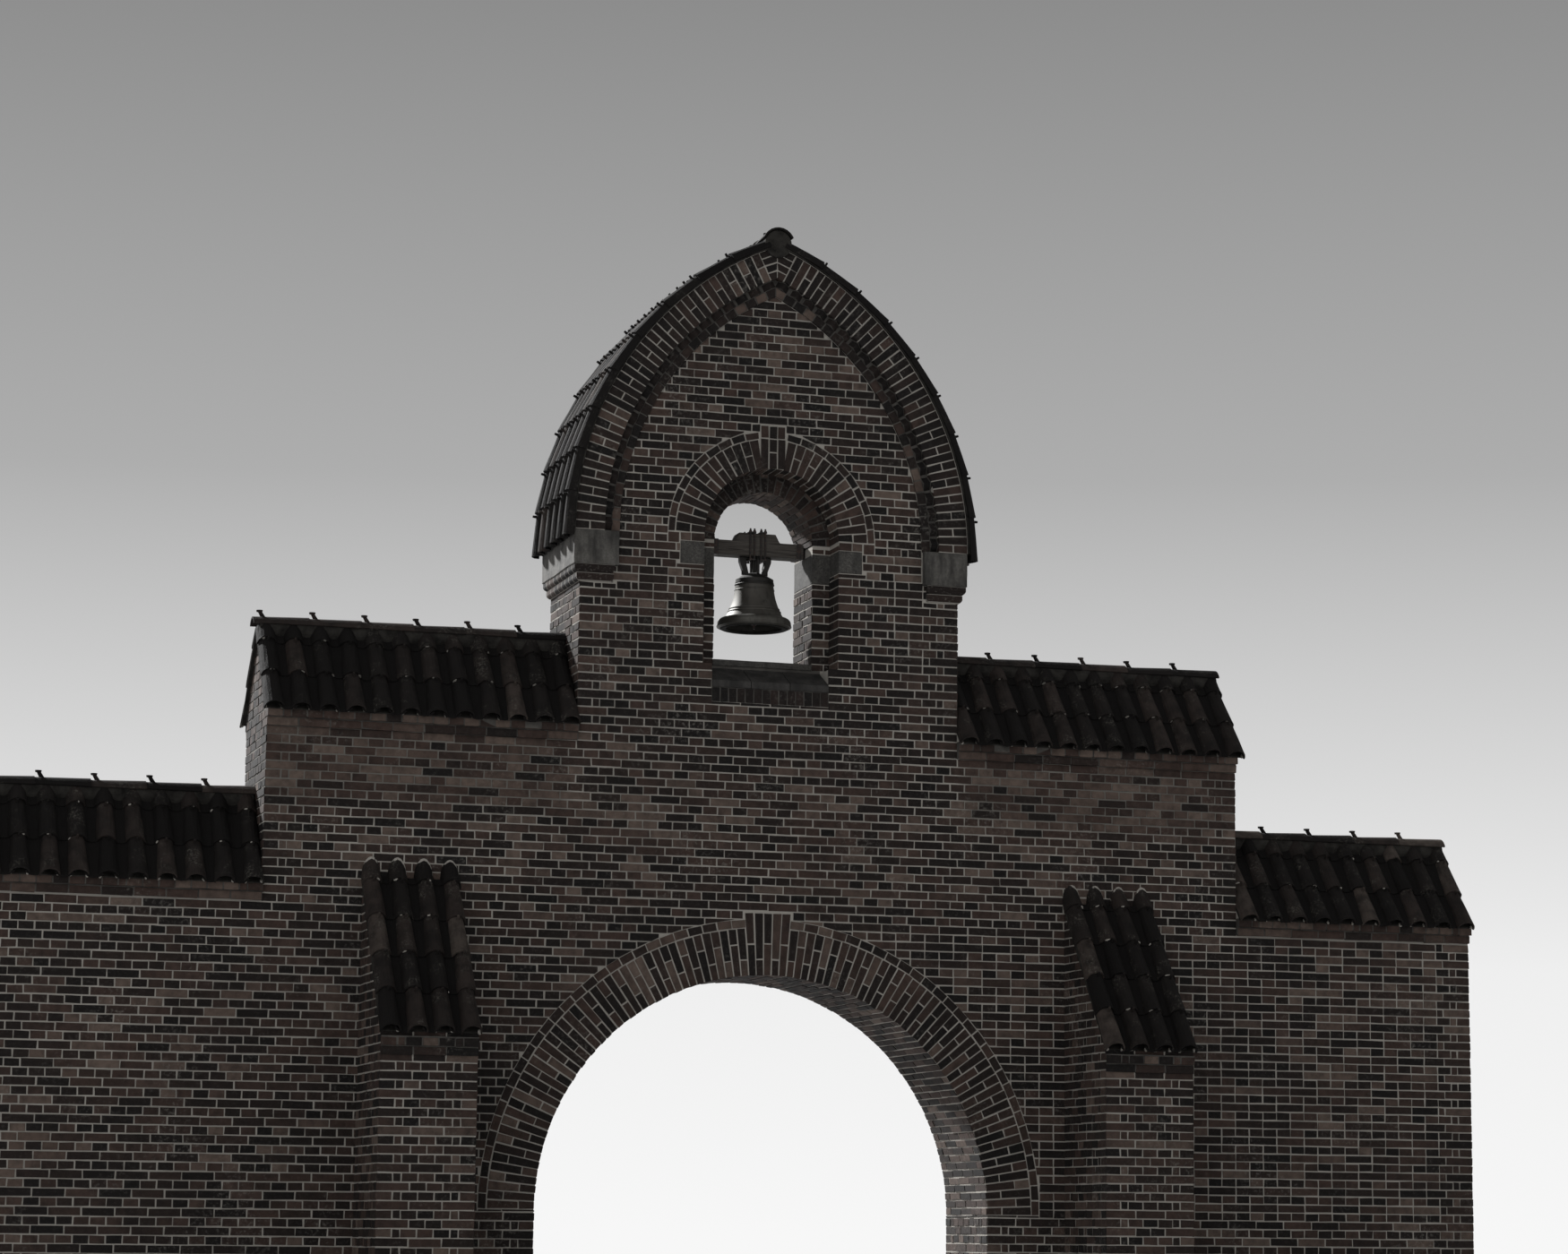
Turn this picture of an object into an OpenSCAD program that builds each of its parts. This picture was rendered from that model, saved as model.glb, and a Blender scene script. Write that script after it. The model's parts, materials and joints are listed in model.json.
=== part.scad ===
// Brick bell gable over a gateway: a four-brick-thick wall with a round gate arch,
// tiled shoulders, a pointed gable with a dog-tooth verge, and a bell hung in its window.
// X runs along the wall, Y through it, Z up. Origin: ground level, gateway centre, mid-wall.

/* [Wall] */
// Thickness of the wall, four bricks
wall_t = 948; // [708:120:1188]
// Length of the gateway wall, end to end
gate_wall_w = 7908; // [7400:10:8600]
// Height of the gateway wall up to its eaves courses
gate_wall_h = 5400; // [5100:10:5600]
// Length of each lower flank wall
flank_len = 2076; // [1200:10:4000]
// How far the eaves of the flank walls lie under those of the gateway wall
flank_drop = 1320; // [1000:10:1800]
// Height of one brick course with its joint
course_h = 66.67; // [60:0.01:75]
// How far each corbelled course steps out
corbel_step = 30; // [15:1:40]

/* [Gateway] */
// Clear width of the gateway
gate_w = 3640; // [3000:10:4000]
// Height of the springing line of the gate arch
gate_spring = 1820; // [1600:10:2000]
// Depth of the gate arch ring with its label course
gate_ring_t = 430; // [360:5:480]
// Width of the raised key of the gate arch
gate_key_w = 400; // [300:10:500]
// How far the key of the gate arch rises over the label
gate_key_rise = 50; // [30:5:90]

/* [Gable] */
// Width of the gable wall
gable_w = 3108; // [2900:4:3300]
// How far the verge springs below the window arch
verge_drop = 40; // [0:2:60]
// Outer radius of the verge ring
verge_r = 2588; // [2400:4:2700]
// How far the foot of the verge stands out past the gable wall
verge_over = 66; // [50:2:90]
// Depth of the verge ring, one brick
verge_t = 240; // [200:5:260]
// How far the verge ring stands out from each face
verge_proj = 60; // [58:1:90]
// Depth of the plain course under the dog-tooth course
band_plain_t = 64; // [50:1:75]
// How far the plain course stands out
band_plain_proj = 18; // [8:1:30]
// Depth of the dog-tooth course
tooth_t = 64; // [50:1:75]
// How far the corners of the dog-tooth bricks stand out
tooth_proj = 56; // [30:1:57]
// Spacing of the dog-tooth bricks along the verge
tooth_gauge = 125; // [100:1:160]
// Height of the kneeler stones
kneeler_h = 270; // [200:5:330]
// Width of the kneeler stones
kneeler_w = 360; // [300:5:420]

/* [Bell window] */
// Clear width of the outer order of the window
window_w = 1112; // [1040:4:1200]
// Clear width of the inner order of the window
inner_w = 820; // [780:4:900]
// Height of the window's springing line over its inner sill
window_h = 960; // [900:5:1050]
// Depth of the outer arch ring with its label course
window_ring_t = 296; // [240:4:320]
// Depth of the inner arch ring, one brick
inner_ring_t = 228; // [180:4:260]
// How far the outer order is set into the wall from each face
order_depth = 234; // [180:2:260]
// Width of the three-brick key of the window arch
window_key_w = 210; // [150:5:260]
// How far the key of the window arch rises over the label
window_key_rise = 48; // [20:2:80]
// Height of the gable wall's apron, from the gateway wall up to the window breast
apron_h = 360; // [300:5:420]
// Height of the rowlock course under the sloping sills
rowlock_h = 115; // [90:5:130]
// Thickness of the sloping sills at their front edge
sill_nose_t = 55; // [40:1:70]
// How far the sloping sills stand out from the face
sill_proj = 12; // [5:1:30]
// Width of the sloping sills
sill_w = 960; // [900:4:1000]
// Height of the window breast, from its foot up to the outer order
breast_h = 300; // [260:5:330]
// How far the top of the inner sill slab lies over the foot of the outer order
slab_rise = 70; // [60:2:100]
// Thickness of the inner sill slab
inner_sill_t = 50; // [40:2:60]
// Width of the outer impost stones
impost_w = 194; // [150:2:260]
// Height of the outer impost stones
impost_h = 180; // [140:5:230]
// Height of the inner impost stones
inner_impost_h = 240; // [180:5:280]
// How far the top of the impost stones lies under the springing line
impost_drop = 70; // [60:2:90]

/* [Roofs] */
// Slope of the shoulder and flank roofs in degrees
roof_pitch = 51; // [45:1:55]
// Radius of the cover tiles
monk_r = 70; // [60:1:75]
// Height of the cover tiles' centre line over the bed
monk_lift = 18; // [10:1:25]
// Height of the sides of the channel tiles
channel_h = 40; // [35:1:45]
// Thickness of the channel tiles
channel_t = 16; // [12:1:20]
// Radius of the trough of the channel tiles
channel_r = 75; // [70:1:80]
// Number of cover tiles along each shoulder
wing_monks = 12; // [10:1:13]
// Number of cover tiles along each flank roof
flank_monks = 10; // [6:1:12]
// Number of cover tiles across the gable roof
gable_monks = 6; // [5:1:6]
// How far the shoulder roofs run past the end walls
roof_over = 36; // [10:2:60]
// How far the tiles run past the eaves courses, down the slope
eaves_over = 40; // [20:2:60]
// Radius of the ridge tiles
ridge_r = 115; // [105:1:125]
// Radius of the ridge tiles on the gable
gable_ridge_r = 130; // [115:1:140]
// Height of the gable ridge's centre line over the tip of the verge
gable_ridge_lift = 10; // [0:1:30]
// Length of the gable ridge past each verge
gable_ridge_over = 12; // [5:1:30]

/* [Buttresses] */
// Width of the buttresses
buttress_w = 720; // [600:10:960]
// How far the buttresses stand out from the wall
buttress_d = 870; // [600:10:1000]
// Distance from the gateway's centre line to the middle of a buttress
buttress_x = 2830; // [2750:10:3000]
// Height of the buttresses at their outer face
buttress_h = 3100; // [2800:10:3250]
// Slope of the buttress roofs in degrees
buttress_pitch = 53; // [45:1:54]
// How far each moulded course of a buttress steps out
buttress_step = 18; // [10:1:20]
// Number of cover tiles on each buttress
buttress_monks = 4; // [3:1:4]

/* [Bell] */
// Radius of the bell's mouth
mouth_r = 301; // [280:1:320]
// Radius of the bell at its shoulder
shoulder_r = 152; // [140:1:165]
// Height of the shoulder over the mouth
shoulder_z = 378; // [350:2:400]
// Height of the bell's crown over the mouth
crown_z = 447; // [430:1:460]
// Radius of the waist's hollow curve
waist_r = 584; // [560:2:620]
// Thickness of the bell's wall at the waist
bell_wall = 18; // [14:1:22]
// Radius of the sound bow's bulge
bow_r = 44; // [36:1:50]
// How far the mouth hangs under the headstock
bell_hang = 570; // [550:5:590]
// Radius of the rods of the hanging loops
loop_rod_r = 12; // [9:1:14]
// Radius of the hanging loops, to the middle of the rod
loop_r = 36; // [32:1:40]
// Radius of the clapper's ball
ball_r = 34; // [28:1:42]

/* [Headstock] */
// How far the underside of the headstock lies under the top of the impost stones
headstock_drop = 10; // [8:1:20]
// Depth of the headstock's arms
arm_h = 117; // [100:1:130]
// Height of the raised middle over the arms
hump_h = 68; // [40:1:90]
// Width of the raised middle at its top
hump_w = 306; // [280:2:340]
// Thickness of the headstock
headstock_t = 150; // [120:2:180]
// Gap between the headstock and the window jambs
headstock_gap = 22; // [18:1:30]
// Radius of the gudgeon pins
gudgeon_r = 15; // [12:1:18]
// Clearance of the gudgeon pins in their bearings
gudgeon_gap = 0.05; // [0.02:0.01:0.1]
// Length of the bearings into the jambs
bearing_len = 90; // [70:2:120]
// Radius of the strap rods
strap_r = 7; // [5:0.5:8]

/* [Hidden] */
$fn = 96;
fine = 720;
seat = 0.3;
cut = 5;

wall_y = wall_t / 2;
gate_x = gate_wall_w / 2;
flank_x = gate_x + flank_len;
gate_r = gate_w / 2;
gate_ring_r = gate_r + gate_ring_t;
lintel_x = gate_ring_r + 150;
gable_x = gable_w / 2;
flank_wall_h = gate_wall_h - flank_drop;

breast_z = gate_wall_h + apron_h;
sill_nose_z = breast_z + rowlock_h;
order_foot_z = breast_z + breast_h;
inner_sill_z = order_foot_z + slab_rise;
window_spring = inner_sill_z + window_h;
impost_top = window_spring - impost_drop;
verge_spring = window_spring - verge_drop;
headstock_z = impost_top - headstock_drop;
mouth_z = headstock_z - bell_hang;

verge_half = gable_x + verge_over;
verge_cx = verge_r - verge_half;
verge_in_r = verge_r - verge_t;
tooth_in_r = verge_in_r - tooth_t;
band_in_r = tooth_in_r - band_plain_t;
verge_apex = verge_spring + sqrt(verge_r * verge_r - verge_cx * verge_cx);
verge_y = wall_y + verge_proj;

gable_eaves_angle = -1;
kneeler_x1 = verge_r * cos(gable_eaves_angle) - verge_cx - seat;
kneeler_x0 = kneeler_x1 - kneeler_w;
kneeler_z = verge_spring - kneeler_h;
moulding_h = 2 * course_h;
moulding_z = kneeler_z - moulding_h;
moulding_in = 30;
moulding_round = 46;

window_r = window_w / 2;
window_ring_r = window_r + window_ring_t;
inner_r = inner_w / 2;
inner_ring_r = inner_r + inner_ring_t;
order_y = wall_y - order_depth;
slab_z = inner_sill_z - inner_sill_t;
sill_x = sill_w / 2;

eaves_y = wall_y + 2 * corbel_step;
eaves_h = 2 * course_h;
crest = monk_lift + monk_r;

hinge_z = headstock_z + 45;
headstock_x = inner_r - headstock_gap;
crown_r = (shoulder_r * shoulder_r + pow(crown_z - shoulder_z - 8, 2)) / (2 * (crown_z - shoulder_z - 8));
waist_cx = shoulder_r + waist_r;
strap_x = 45;
strap_pair = 17;
plate_t = 10;
loop_x = 14 + loop_rod_r + loop_r;

// Shared shapes

// A block between two corners in the wall's plane, centred on the wall's middle.
module block(x0, x1, z0, z1, half_y) {
    translate([x0, -half_y, z0]) cube([x1 - x0, 2 * half_y, z1 - z0]);
}

// A drawing in the wall's plane made as thick as asked, centred on the wall's middle.
module through(depth) {
    rotate([90, 0, 0]) linear_extrude(depth, center = true) children();
}

// A section across the wall run along X.
module along(x0, x1) {
    translate([x0, 0, 0]) rotate([90, 0, 90]) linear_extrude(x1 - x0) children();
}

module right_and_left() {
    children();
    mirror([1, 0, 0]) children();
}

module front_and_back() {
    children();
    mirror([0, 1, 0]) children();
}

// Everything above a level, for trimming drawings.
module above(z) {
    translate([-flank_x, z]) square([2 * flank_x, verge_apex]);
}

// The pointed outline of the gable at a given radius from the verge's two centres.
module pointed(r) {
    intersection() {
        translate([-verge_cx, verge_spring]) circle(r, $fn = fine);
        translate([verge_cx, verge_spring]) circle(r, $fn = fine);
        above(verge_spring);
    }
}

// Half of a round arch ring with a block for its key.
module round_arch(r_in, r_out, spring, key_w, key_rise) {
    difference() {
        union() {
            translate([0, spring]) circle(r_out);
            translate([-key_w / 2, spring]) square([key_w, r_out + key_rise]);
        }
        translate([0, spring]) circle(r_in);
        translate([-2 * r_out, spring - 2 * r_out]) square([4 * r_out, 2 * r_out]);
    }
}

// The section of cover and channel tiles along a roof: u runs along it, v stands off its bed.
module tile_section(length, first, last, count) {
    gauge = (last - first) / (count - 1);
    difference() {
        square([length, channel_h]);
        for (i = [0 : count - 2])
            translate([first + (i + 0.5) * gauge, channel_t + channel_r]) circle(channel_r);
    }
    intersection() {
        for (i = [0 : count - 1])
            translate([first + i * gauge, monk_lift]) circle(monk_r);
        translate([-monk_r, 0]) square([length + 2 * monk_r, crest]);
    }
}

// A tiled slope facing -Y that runs down from a ridge line at height z on the plane y = 0.
module tiled_slope(z, pitch, run, length, first, last, count) {
    top_spare = 2 * crest;
    translate([0, 0, z]) rotate([90 + pitch, 0, 0]) translate([0, 0, -top_spare])
        linear_extrude(run + top_spare) tile_section(length, first, last, count);
}

// Walls

module flank_wall() {
    color([0.36, 0.25, 0.21]) block(gate_x, flank_x, 0, flank_wall_h, wall_y);
}

module gate_pier() {
    color([0.36, 0.25, 0.21]) through(wall_t)
        difference() {
            translate([gate_r, 0]) square([gate_x - gate_r, gate_wall_h]);
            translate([0, gate_spring]) square([lintel_x, gate_wall_h]);
        }
}

module gate_arch() {
    color([0.33, 0.22, 0.19]) through(wall_t)
        round_arch(gate_r, gate_ring_r, gate_spring, gate_key_w, gate_key_rise);
}

module wall_over_gate() {
    color([0.36, 0.25, 0.21]) through(wall_t)
        difference() {
            translate([-lintel_x, gate_spring]) square([2 * lintel_x, gate_wall_h - gate_spring]);
            translate([0, gate_spring]) circle(gate_ring_r);
            translate([-gate_key_w / 2, gate_spring])
                square([gate_key_w, gate_ring_r + gate_key_rise]);
        }
}

// Two corbelled courses under the tiles, right through the wall.
module eaves_courses(x0, x1, z) {
    color([0.34, 0.24, 0.2]) {
        block(x0, x1, z, z + course_h, wall_y + corbel_step);
        block(x0, x1, z + course_h, z + eaves_h, eaves_y);
    }
}

function roof_rise() = eaves_y * tan(roof_pitch);
function core_top(wall_h) = wall_h + eaves_h + roof_rise();
function ridge_centre(wall_h) = core_top(wall_h) + crest / cos(roof_pitch) - ridge_r * tan(roof_pitch);

module core_section(wall_h) {
    base = wall_h + eaves_h;
    polygon([[-eaves_y, base], [eaves_y, base], [0, core_top(wall_h)]]);
}

// The brick core that carries the tiles and shows as a small gable at its end.
module roof_core(x0, x1, wall_h) {
    color([0.36, 0.25, 0.21]) along(x0, x1) core_section(wall_h);
}

module double_roof(x0, x1, wall_h, count, first_in, last_in) {
    run = eaves_y / cos(roof_pitch) + eaves_over;
    length = x1 - x0;
    color([0.27, 0.24, 0.22]) difference() {
        front_and_back() intersection() {
            translate([x0, 0, 0])
                tiled_slope(core_top(wall_h), roof_pitch, run, length, first_in, length - last_in, count);
            translate([x0 - monk_r, -3 * eaves_y, 0])
                cube([length + 2 * monk_r, 3 * eaves_y, core_top(wall_h) + 3 * crest]);
        }
        translate([x0 - 2 * monk_r, 0, ridge_centre(wall_h)]) {
            rotate([0, 90, 0]) cylinder(r = ridge_r, h = length + 4 * monk_r);
            translate([0, -ridge_r, 0]) cube([length + 4 * monk_r, 2 * ridge_r, 3 * ridge_r]);
        }
    }
}

// Half-round ridge tiles bedded solid in mortar.
module ridge_tiles(x0, x1, wall_h) {
    color([0.29, 0.25, 0.23]) difference() {
        translate([x0, 0, ridge_centre(wall_h)]) rotate([0, 90, 0])
            cylinder(r = ridge_r, h = x1 - x0);
        along(x0 - cut, x1 + cut) core_section(wall_h);
    }
}

module wing_roof() {
    double_roof(gable_x, gate_x + roof_over, gate_wall_h, wing_monks, monk_r + cut, monk_r);
}

module flank_roof() {
    double_roof(gate_x, flank_x, flank_wall_h, flank_monks, monk_r + cut, monk_r);
}

// Gable

module gable_apron() {
    color([0.36, 0.25, 0.21]) block(-gable_x, gable_x, gate_wall_h, breast_z, wall_y);
}

// One side of the gable wall beside the window, in its outer and inner orders.
module pier_outline(jamb_x, foot_z, foot_x) {
    difference() {
        translate([jamb_x, breast_z]) square([gable_x - jamb_x, verge_spring - breast_z]);
        translate([kneeler_x0, kneeler_z]) square([kneeler_w, kneeler_h]);
        translate([kneeler_x0 + moulding_in, moulding_z]) square([kneeler_w, moulding_h + cut]);
    }
    translate([foot_x, breast_z]) square([jamb_x + cut - foot_x, foot_z - breast_z]);
}

module gable_pier() {
    color([0.36, 0.25, 0.21]) difference() {
        union() {
            front_and_back() translate([0, -order_y, 0]) rotate([90, 0, 0])
                linear_extrude(order_depth) pier_outline(window_r, order_foot_z, sill_x);
            rotate([90, 0, 0]) linear_extrude(2 * order_y, center = true)
                pier_outline(inner_r, order_foot_z, sill_x);
        }
        block(0, sill_x, breast_z - cut, slab_z, wall_t);
        front_and_back() outer_impost();
        inner_impost();
        bearing_block();
    }
}

module gable_head() {
    color([0.36, 0.25, 0.21]) difference() {
        through(wall_t) pointed(verge_in_r);
        front_and_back() translate([0, -order_y, 0]) rotate([90, 0, 0])
            linear_extrude(order_depth + cut) {
                translate([0, window_spring]) circle(window_ring_r);
                translate([-window_key_w / 2, window_spring])
                    square([window_key_w, window_ring_r + window_key_rise]);
            }
        through(2 * order_y) {
            translate([0, window_spring]) circle(inner_ring_r);
        }
        block(-window_r, window_r, verge_spring - cut, window_spring, wall_t);
    }
    color([0.36, 0.25, 0.21]) difference() {
        head_feet();
        right_and_left() bearing_block();
    }
}

// The wall between the verge's springing line and the window's springing line.
module head_feet() {
    right_and_left() difference() {
        block(window_r - cut, inner_ring_r + window_ring_t, verge_spring, window_spring, wall_y);
        block(0, window_r, verge_spring - cut, window_spring + cut, wall_t);
    }
    right_and_left() block(inner_r, window_r, verge_spring, window_spring, order_y);
}

module window_arches() {
    color([0.31, 0.21, 0.18]) front_and_back()
        translate([0, -order_y - seat / 3, 0]) rotate([90, 0, 0])
            linear_extrude(order_depth - seat / 3)
                round_arch(window_r, window_ring_r, window_spring, window_key_w, window_key_rise);
}

module inner_window_arch() {
    color([0.31, 0.21, 0.18]) through(2 * order_y)
        round_arch(inner_r, inner_ring_r, window_spring, 0.001, -1);
}

module outer_impost() {
    translate([window_r, -wall_y, impost_top - impost_h])
        cube([impost_w, order_depth, impost_h]);
}

module inner_impost() {
    block(inner_r, window_r + 40, impost_top - inner_impost_h, impost_top, order_y);
}

module outer_impost_stones() {
    color([0.5, 0.48, 0.46]) right_and_left() front_and_back() outer_impost();
}

module inner_impost_stones() {
    color([0.5, 0.48, 0.46]) right_and_left() inner_impost();
}

// Brickwork under the window: a rowlock course right through and a core under the slab.
module window_breast() {
    color([0.33, 0.23, 0.2]) {
        block(-sill_x, sill_x, breast_z, sill_nose_z, wall_y);
        block(-sill_x, sill_x, sill_nose_z, slab_z, order_y);
    }
}

module inner_sill() {
    color([0.52, 0.5, 0.47]) block(-inner_r, inner_r, slab_z, inner_sill_z, order_y + sill_proj);
}

module sloping_sills() {
    color([0.4, 0.37, 0.34]) front_and_back() along(-sill_x, sill_x)
        polygon([[-order_y, sill_nose_z], [-wall_y - sill_proj, sill_nose_z],
            [-wall_y - sill_proj, sill_nose_z + sill_nose_t], [-order_y, order_foot_z]]);
}

module kneeler() {
    block(kneeler_x0, kneeler_x1, kneeler_z, verge_spring, verge_y);
}

module kneeler_stones() {
    color([0.55, 0.52, 0.49]) right_and_left() kneeler();
}

// A course with both lower edges rounded, drawn from its lower left corner.
module round_course(w, h, c) {
    r = c + 2;
    difference() {
        square([w, h]);
        for (x = [0, w]) difference() {
            translate([x - c, -c]) square(2 * c);
            translate([x == 0 ? c : w - c, c]) circle(r);
        }
    }
}

// One moulded course that steps out in front, behind and to the side.
module moulded_course(x0, x1, z, half_y) {
    intersection() {
        translate([0, 0, z]) through(2 * half_y)
            translate([x0, 0]) round_course(x1 - x0, course_h, moulding_round);
        along(x0 - cut, x1 + cut)
            translate([-half_y, z]) round_course(2 * half_y, course_h, moulding_round);
    }
}

module kneeler_mouldings() {
    x0 = kneeler_x0 + moulding_in;
    color([0.33, 0.23, 0.2]) right_and_left() {
        moulded_course(x0, kneeler_x1 - 30, moulding_z, wall_y + verge_proj - 35);
        moulded_course(x0, kneeler_x1 - 8, moulding_z + course_h, wall_y + verge_proj - 12);
        block(x0, gable_x, moulding_z, kneeler_z, wall_y);
    }
}

// Half of the pointed verge ring: voussoirs laid over the whole thickness of the gable.
module verge_ring() {
    color([0.31, 0.21, 0.18]) through(2 * verge_y) difference() {
        pointed(verge_r);
        pointed(verge_in_r);
        translate([-flank_x, 0]) square([flank_x, 2 * verge_apex]);
    }
}

tooth_mid_r = tooth_in_r + tooth_t / 2;
tooth_end_angle = acos(verge_cx / tooth_mid_r);
tooth_count = floor(tooth_mid_r * tooth_end_angle * PI / 180 / tooth_gauge);
tooth_angle = tooth_end_angle / tooth_count;

// One brick set corner-out; it stands on the inner edge of the verge ring.
module tooth(angle) {
    half = tooth_gauge / 2 - 4;
    translate([-verge_cx, 0, verge_spring]) rotate([0, -angle, 0])
        translate([tooth_in_r - 1, -wall_y - seat, 0]) rotate([0, 90, 0])
            linear_extrude(tooth_t - 0.5) polygon([[-half, 0], [0, -tooth_proj + seat], [half, 0]]);
}

module band(r_out, r_in, proj) {
    translate([0, -wall_y, 0]) rotate([90, 0, 0]) linear_extrude(proj) difference() {
        pointed(r_out);
        pointed(r_in);
    }
}

module dog_tooth_bands() {
    color([0.25, 0.18, 0.16]) front_and_back() {
        band(verge_in_r, band_in_r, 8);
        band(tooth_in_r, band_in_r, band_plain_proj);
        right_and_left() for (i = [0 : tooth_count - 1]) tooth((i + 0.5) * tooth_angle);
    }
}

gable_ridge_z = verge_apex + gable_ridge_lift;
gable_roof_y = verge_y + cut;

module gable_roof() {
    first = monk_r - 36;
    color([0.27, 0.24, 0.22]) difference() {
        intersection() {
            translate([-verge_cx, 0, verge_spring]) rotate([90, 0, 0])
                rotate([0, 0, gable_eaves_angle]) rotate_extrude(angle = 80, $fn = fine)
                    translate([verge_r, gable_roof_y]) rotate(-90)
                        tile_section(2 * gable_roof_y, first, 2 * gable_roof_y - first, gable_monks);
            translate([0, -2 * gable_roof_y, 0])
                cube([verge_r, 4 * gable_roof_y, 2 * verge_apex]);
        }
        translate([0, 0, gable_ridge_z]) rotate([90, 0, 0])
            cylinder(r = gable_ridge_r, h = 4 * gable_roof_y, center = true);
    }
}

module gable_ridge() {
    ridge_half = verge_y + gable_ridge_over + monk_r / 2;
    color([0.29, 0.25, 0.23]) difference() {
        translate([0, 0, gable_ridge_z]) rotate([90, 0, 0])
            cylinder(r = gable_ridge_r, h = 2 * ridge_half, center = true);
        through(4 * ridge_half) pointed(verge_r);
    }
}

// Buttresses

buttress_rise = buttress_d * tan(buttress_pitch);

module buttress() {
    x0 = buttress_x - buttress_w / 2;
    along(x0, x0 + buttress_w)
        polygon([[-wall_y, 0], [-wall_y - buttress_d, 0], [-wall_y - buttress_d, buttress_h],
            [-wall_y, buttress_h + buttress_rise]]);
}

module buttresses() {
    color([0.36, 0.25, 0.21]) right_and_left() front_and_back() buttress();
}

// Two stepped courses round the head of each buttress, under its tiles.
module buttress_moulding() {
    x0 = buttress_x - buttress_w / 2;
    y_face = -wall_y - buttress_d;
    top_z = buttress_h - 2 * buttress_step * tan(buttress_pitch);
    for (k = [1, 2]) {
        out = k * buttress_step;
        translate([x0, y_face - out, top_z - (3 - k) * course_h]) cube([buttress_w, out, course_h]);
    }
}

module buttress_mouldings() {
    color([0.34, 0.24, 0.2]) right_and_left() front_and_back() buttress_moulding();
}

module buttress_roof() {
    run = buttress_d / cos(buttress_pitch) + eaves_over;
    over = 12;
    length = buttress_w + 2 * over;
    intersection() {
        translate([buttress_x - length / 2, -wall_y, 0])
            tiled_slope(buttress_h + buttress_rise, buttress_pitch, run, length,
                monk_r - 20, length - monk_r + 20, buttress_monks);
        translate([0, -wall_y - 2 * buttress_d, 0])
            cube([flank_x, 2 * buttress_d, buttress_h + buttress_rise + 3 * crest]);
    }
}

module buttress_roofs() {
    color([0.27, 0.24, 0.22]) right_and_left() front_and_back() buttress_roof();
}

// Bell and its hanging

bearing_h = window_spring - impost_top;
bearing_half = 42;

// The block of iron let into each jamb on its impost stone.
module bearing_block() {
    block(inner_r, inner_r + bearing_len, impost_top, window_spring, bearing_half);
}

module bearings() {
    color([0.16, 0.16, 0.17]) right_and_left() difference() {
        bearing_block();
        translate([0, 0, hinge_z]) rotate([0, 90, 0])
            cylinder(r = gudgeon_r + gudgeon_gap, h = inner_r + 2 * bearing_len);
    }
}

module bell_outer() {
    difference() {
        square([waist_cx, crown_z]);
        translate([waist_cx, shoulder_z]) circle(waist_r);
        translate([shoulder_r, shoulder_z]) square([waist_cx, crown_z]);
    }
}

module bell_section() {
    dome = crown_z - shoulder_z - 8;
    difference() {
        union() {
            intersection() {
                bell_outer();
                union() {
                    square([waist_cx, shoulder_z]);
                    translate([0, crown_z - crown_r]) circle(crown_r);
                }
                square([mouth_r - bow_r, crown_z]);
            }
            translate([mouth_r - bow_r - 5, bow_r - 16]) circle(bow_r);
            polygon([[mouth_r - 2 * bow_r, 0], [mouth_r - 3, 0], [mouth_r, 5], [mouth_r - 6, bow_r - 16],
                [mouth_r - 2 * bow_r, bow_r]]);
            for (z = [shoulder_z - 22, shoulder_z - 66]) translate([0, z])
                square([shoulder_r + 3 + (shoulder_z - z) * 0.03, 7]);
            for (z = [118, 140]) translate([0, z])
                square([waist_cx - sqrt(waist_r * waist_r - pow(shoulder_z - z, 2)) + 3, 7]);
        }
        intersection() {
            difference() {
                translate([0, -cut]) square([waist_cx, shoulder_z + cut]);
                translate([waist_cx, shoulder_z]) circle(waist_r + bell_wall);
            }
            translate([0, -cut]) square([mouth_r, crown_z]);
        }
        intersection() {
            translate([0, crown_z - crown_r]) circle(crown_r - bell_wall - 2);
            translate([0, shoulder_z - cut]) square([shoulder_r - bell_wall, dome + cut]);
        }
        translate([-waist_cx, -cut]) square([waist_cx, 2 * crown_z]);
    }
}

// A hanging loop of round rod that stands on the crown.
module hanging_loop() {
    leg = bell_hang - crown_z - loop_r - loop_rod_r - seat + dome_drop;
    translate([loop_x, 0, bell_hang - loop_r - loop_rod_r - seat]) {
        rotate([90, 0, 0]) rotate_extrude(angle = 180) translate([loop_r, 0]) circle(loop_rod_r);
        for (x = [-loop_r, loop_r]) translate([x, 0, -leg]) cylinder(r = loop_rod_r, h = leg);
    }
}

dome_drop = 22;

module bell() {
    color([0.26, 0.25, 0.22]) translate([0, 0, mouth_z]) {
        rotate_extrude() bell_section();
        for (a = [0 : 90 : 270]) rotate([0, 0, a]) hanging_loop();
        translate([0, 0, crown_z - cut]) cylinder(r = 16, h = bell_hang - crown_z + cut - seat);
    }
}

clapper_eye_z = crown_z - bell_wall - 46;

module clapper() {
    color([0.14, 0.13, 0.13]) translate([0, 0, mouth_z]) {
        translate([0, 0, clapper_eye_z - 8]) cylinder(r = 9, h = 8 + 46 - 2.3);
        translate([0, 0, 56]) cylinder(r = 9, h = clapper_eye_z - 60);
        translate([0, 0, 50]) sphere(ball_r);
        translate([0, 0, -12]) cylinder(r1 = 8, r2 = 14, h = 40);
    }
}

module headstock_outline() {
    base_w = hump_w + hump_h;
    translate([-headstock_x, headstock_z]) square([2 * headstock_x, arm_h]);
    polygon([[-base_w / 2, headstock_z + arm_h - cut], [base_w / 2, headstock_z + arm_h - cut],
        [hump_w / 2, headstock_z + arm_h + hump_h], [-hump_w / 2, headstock_z + arm_h + hump_h]]);
}

module headstock() {
    color([0.3, 0.25, 0.21]) through(headstock_t) headstock_outline();
}

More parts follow.
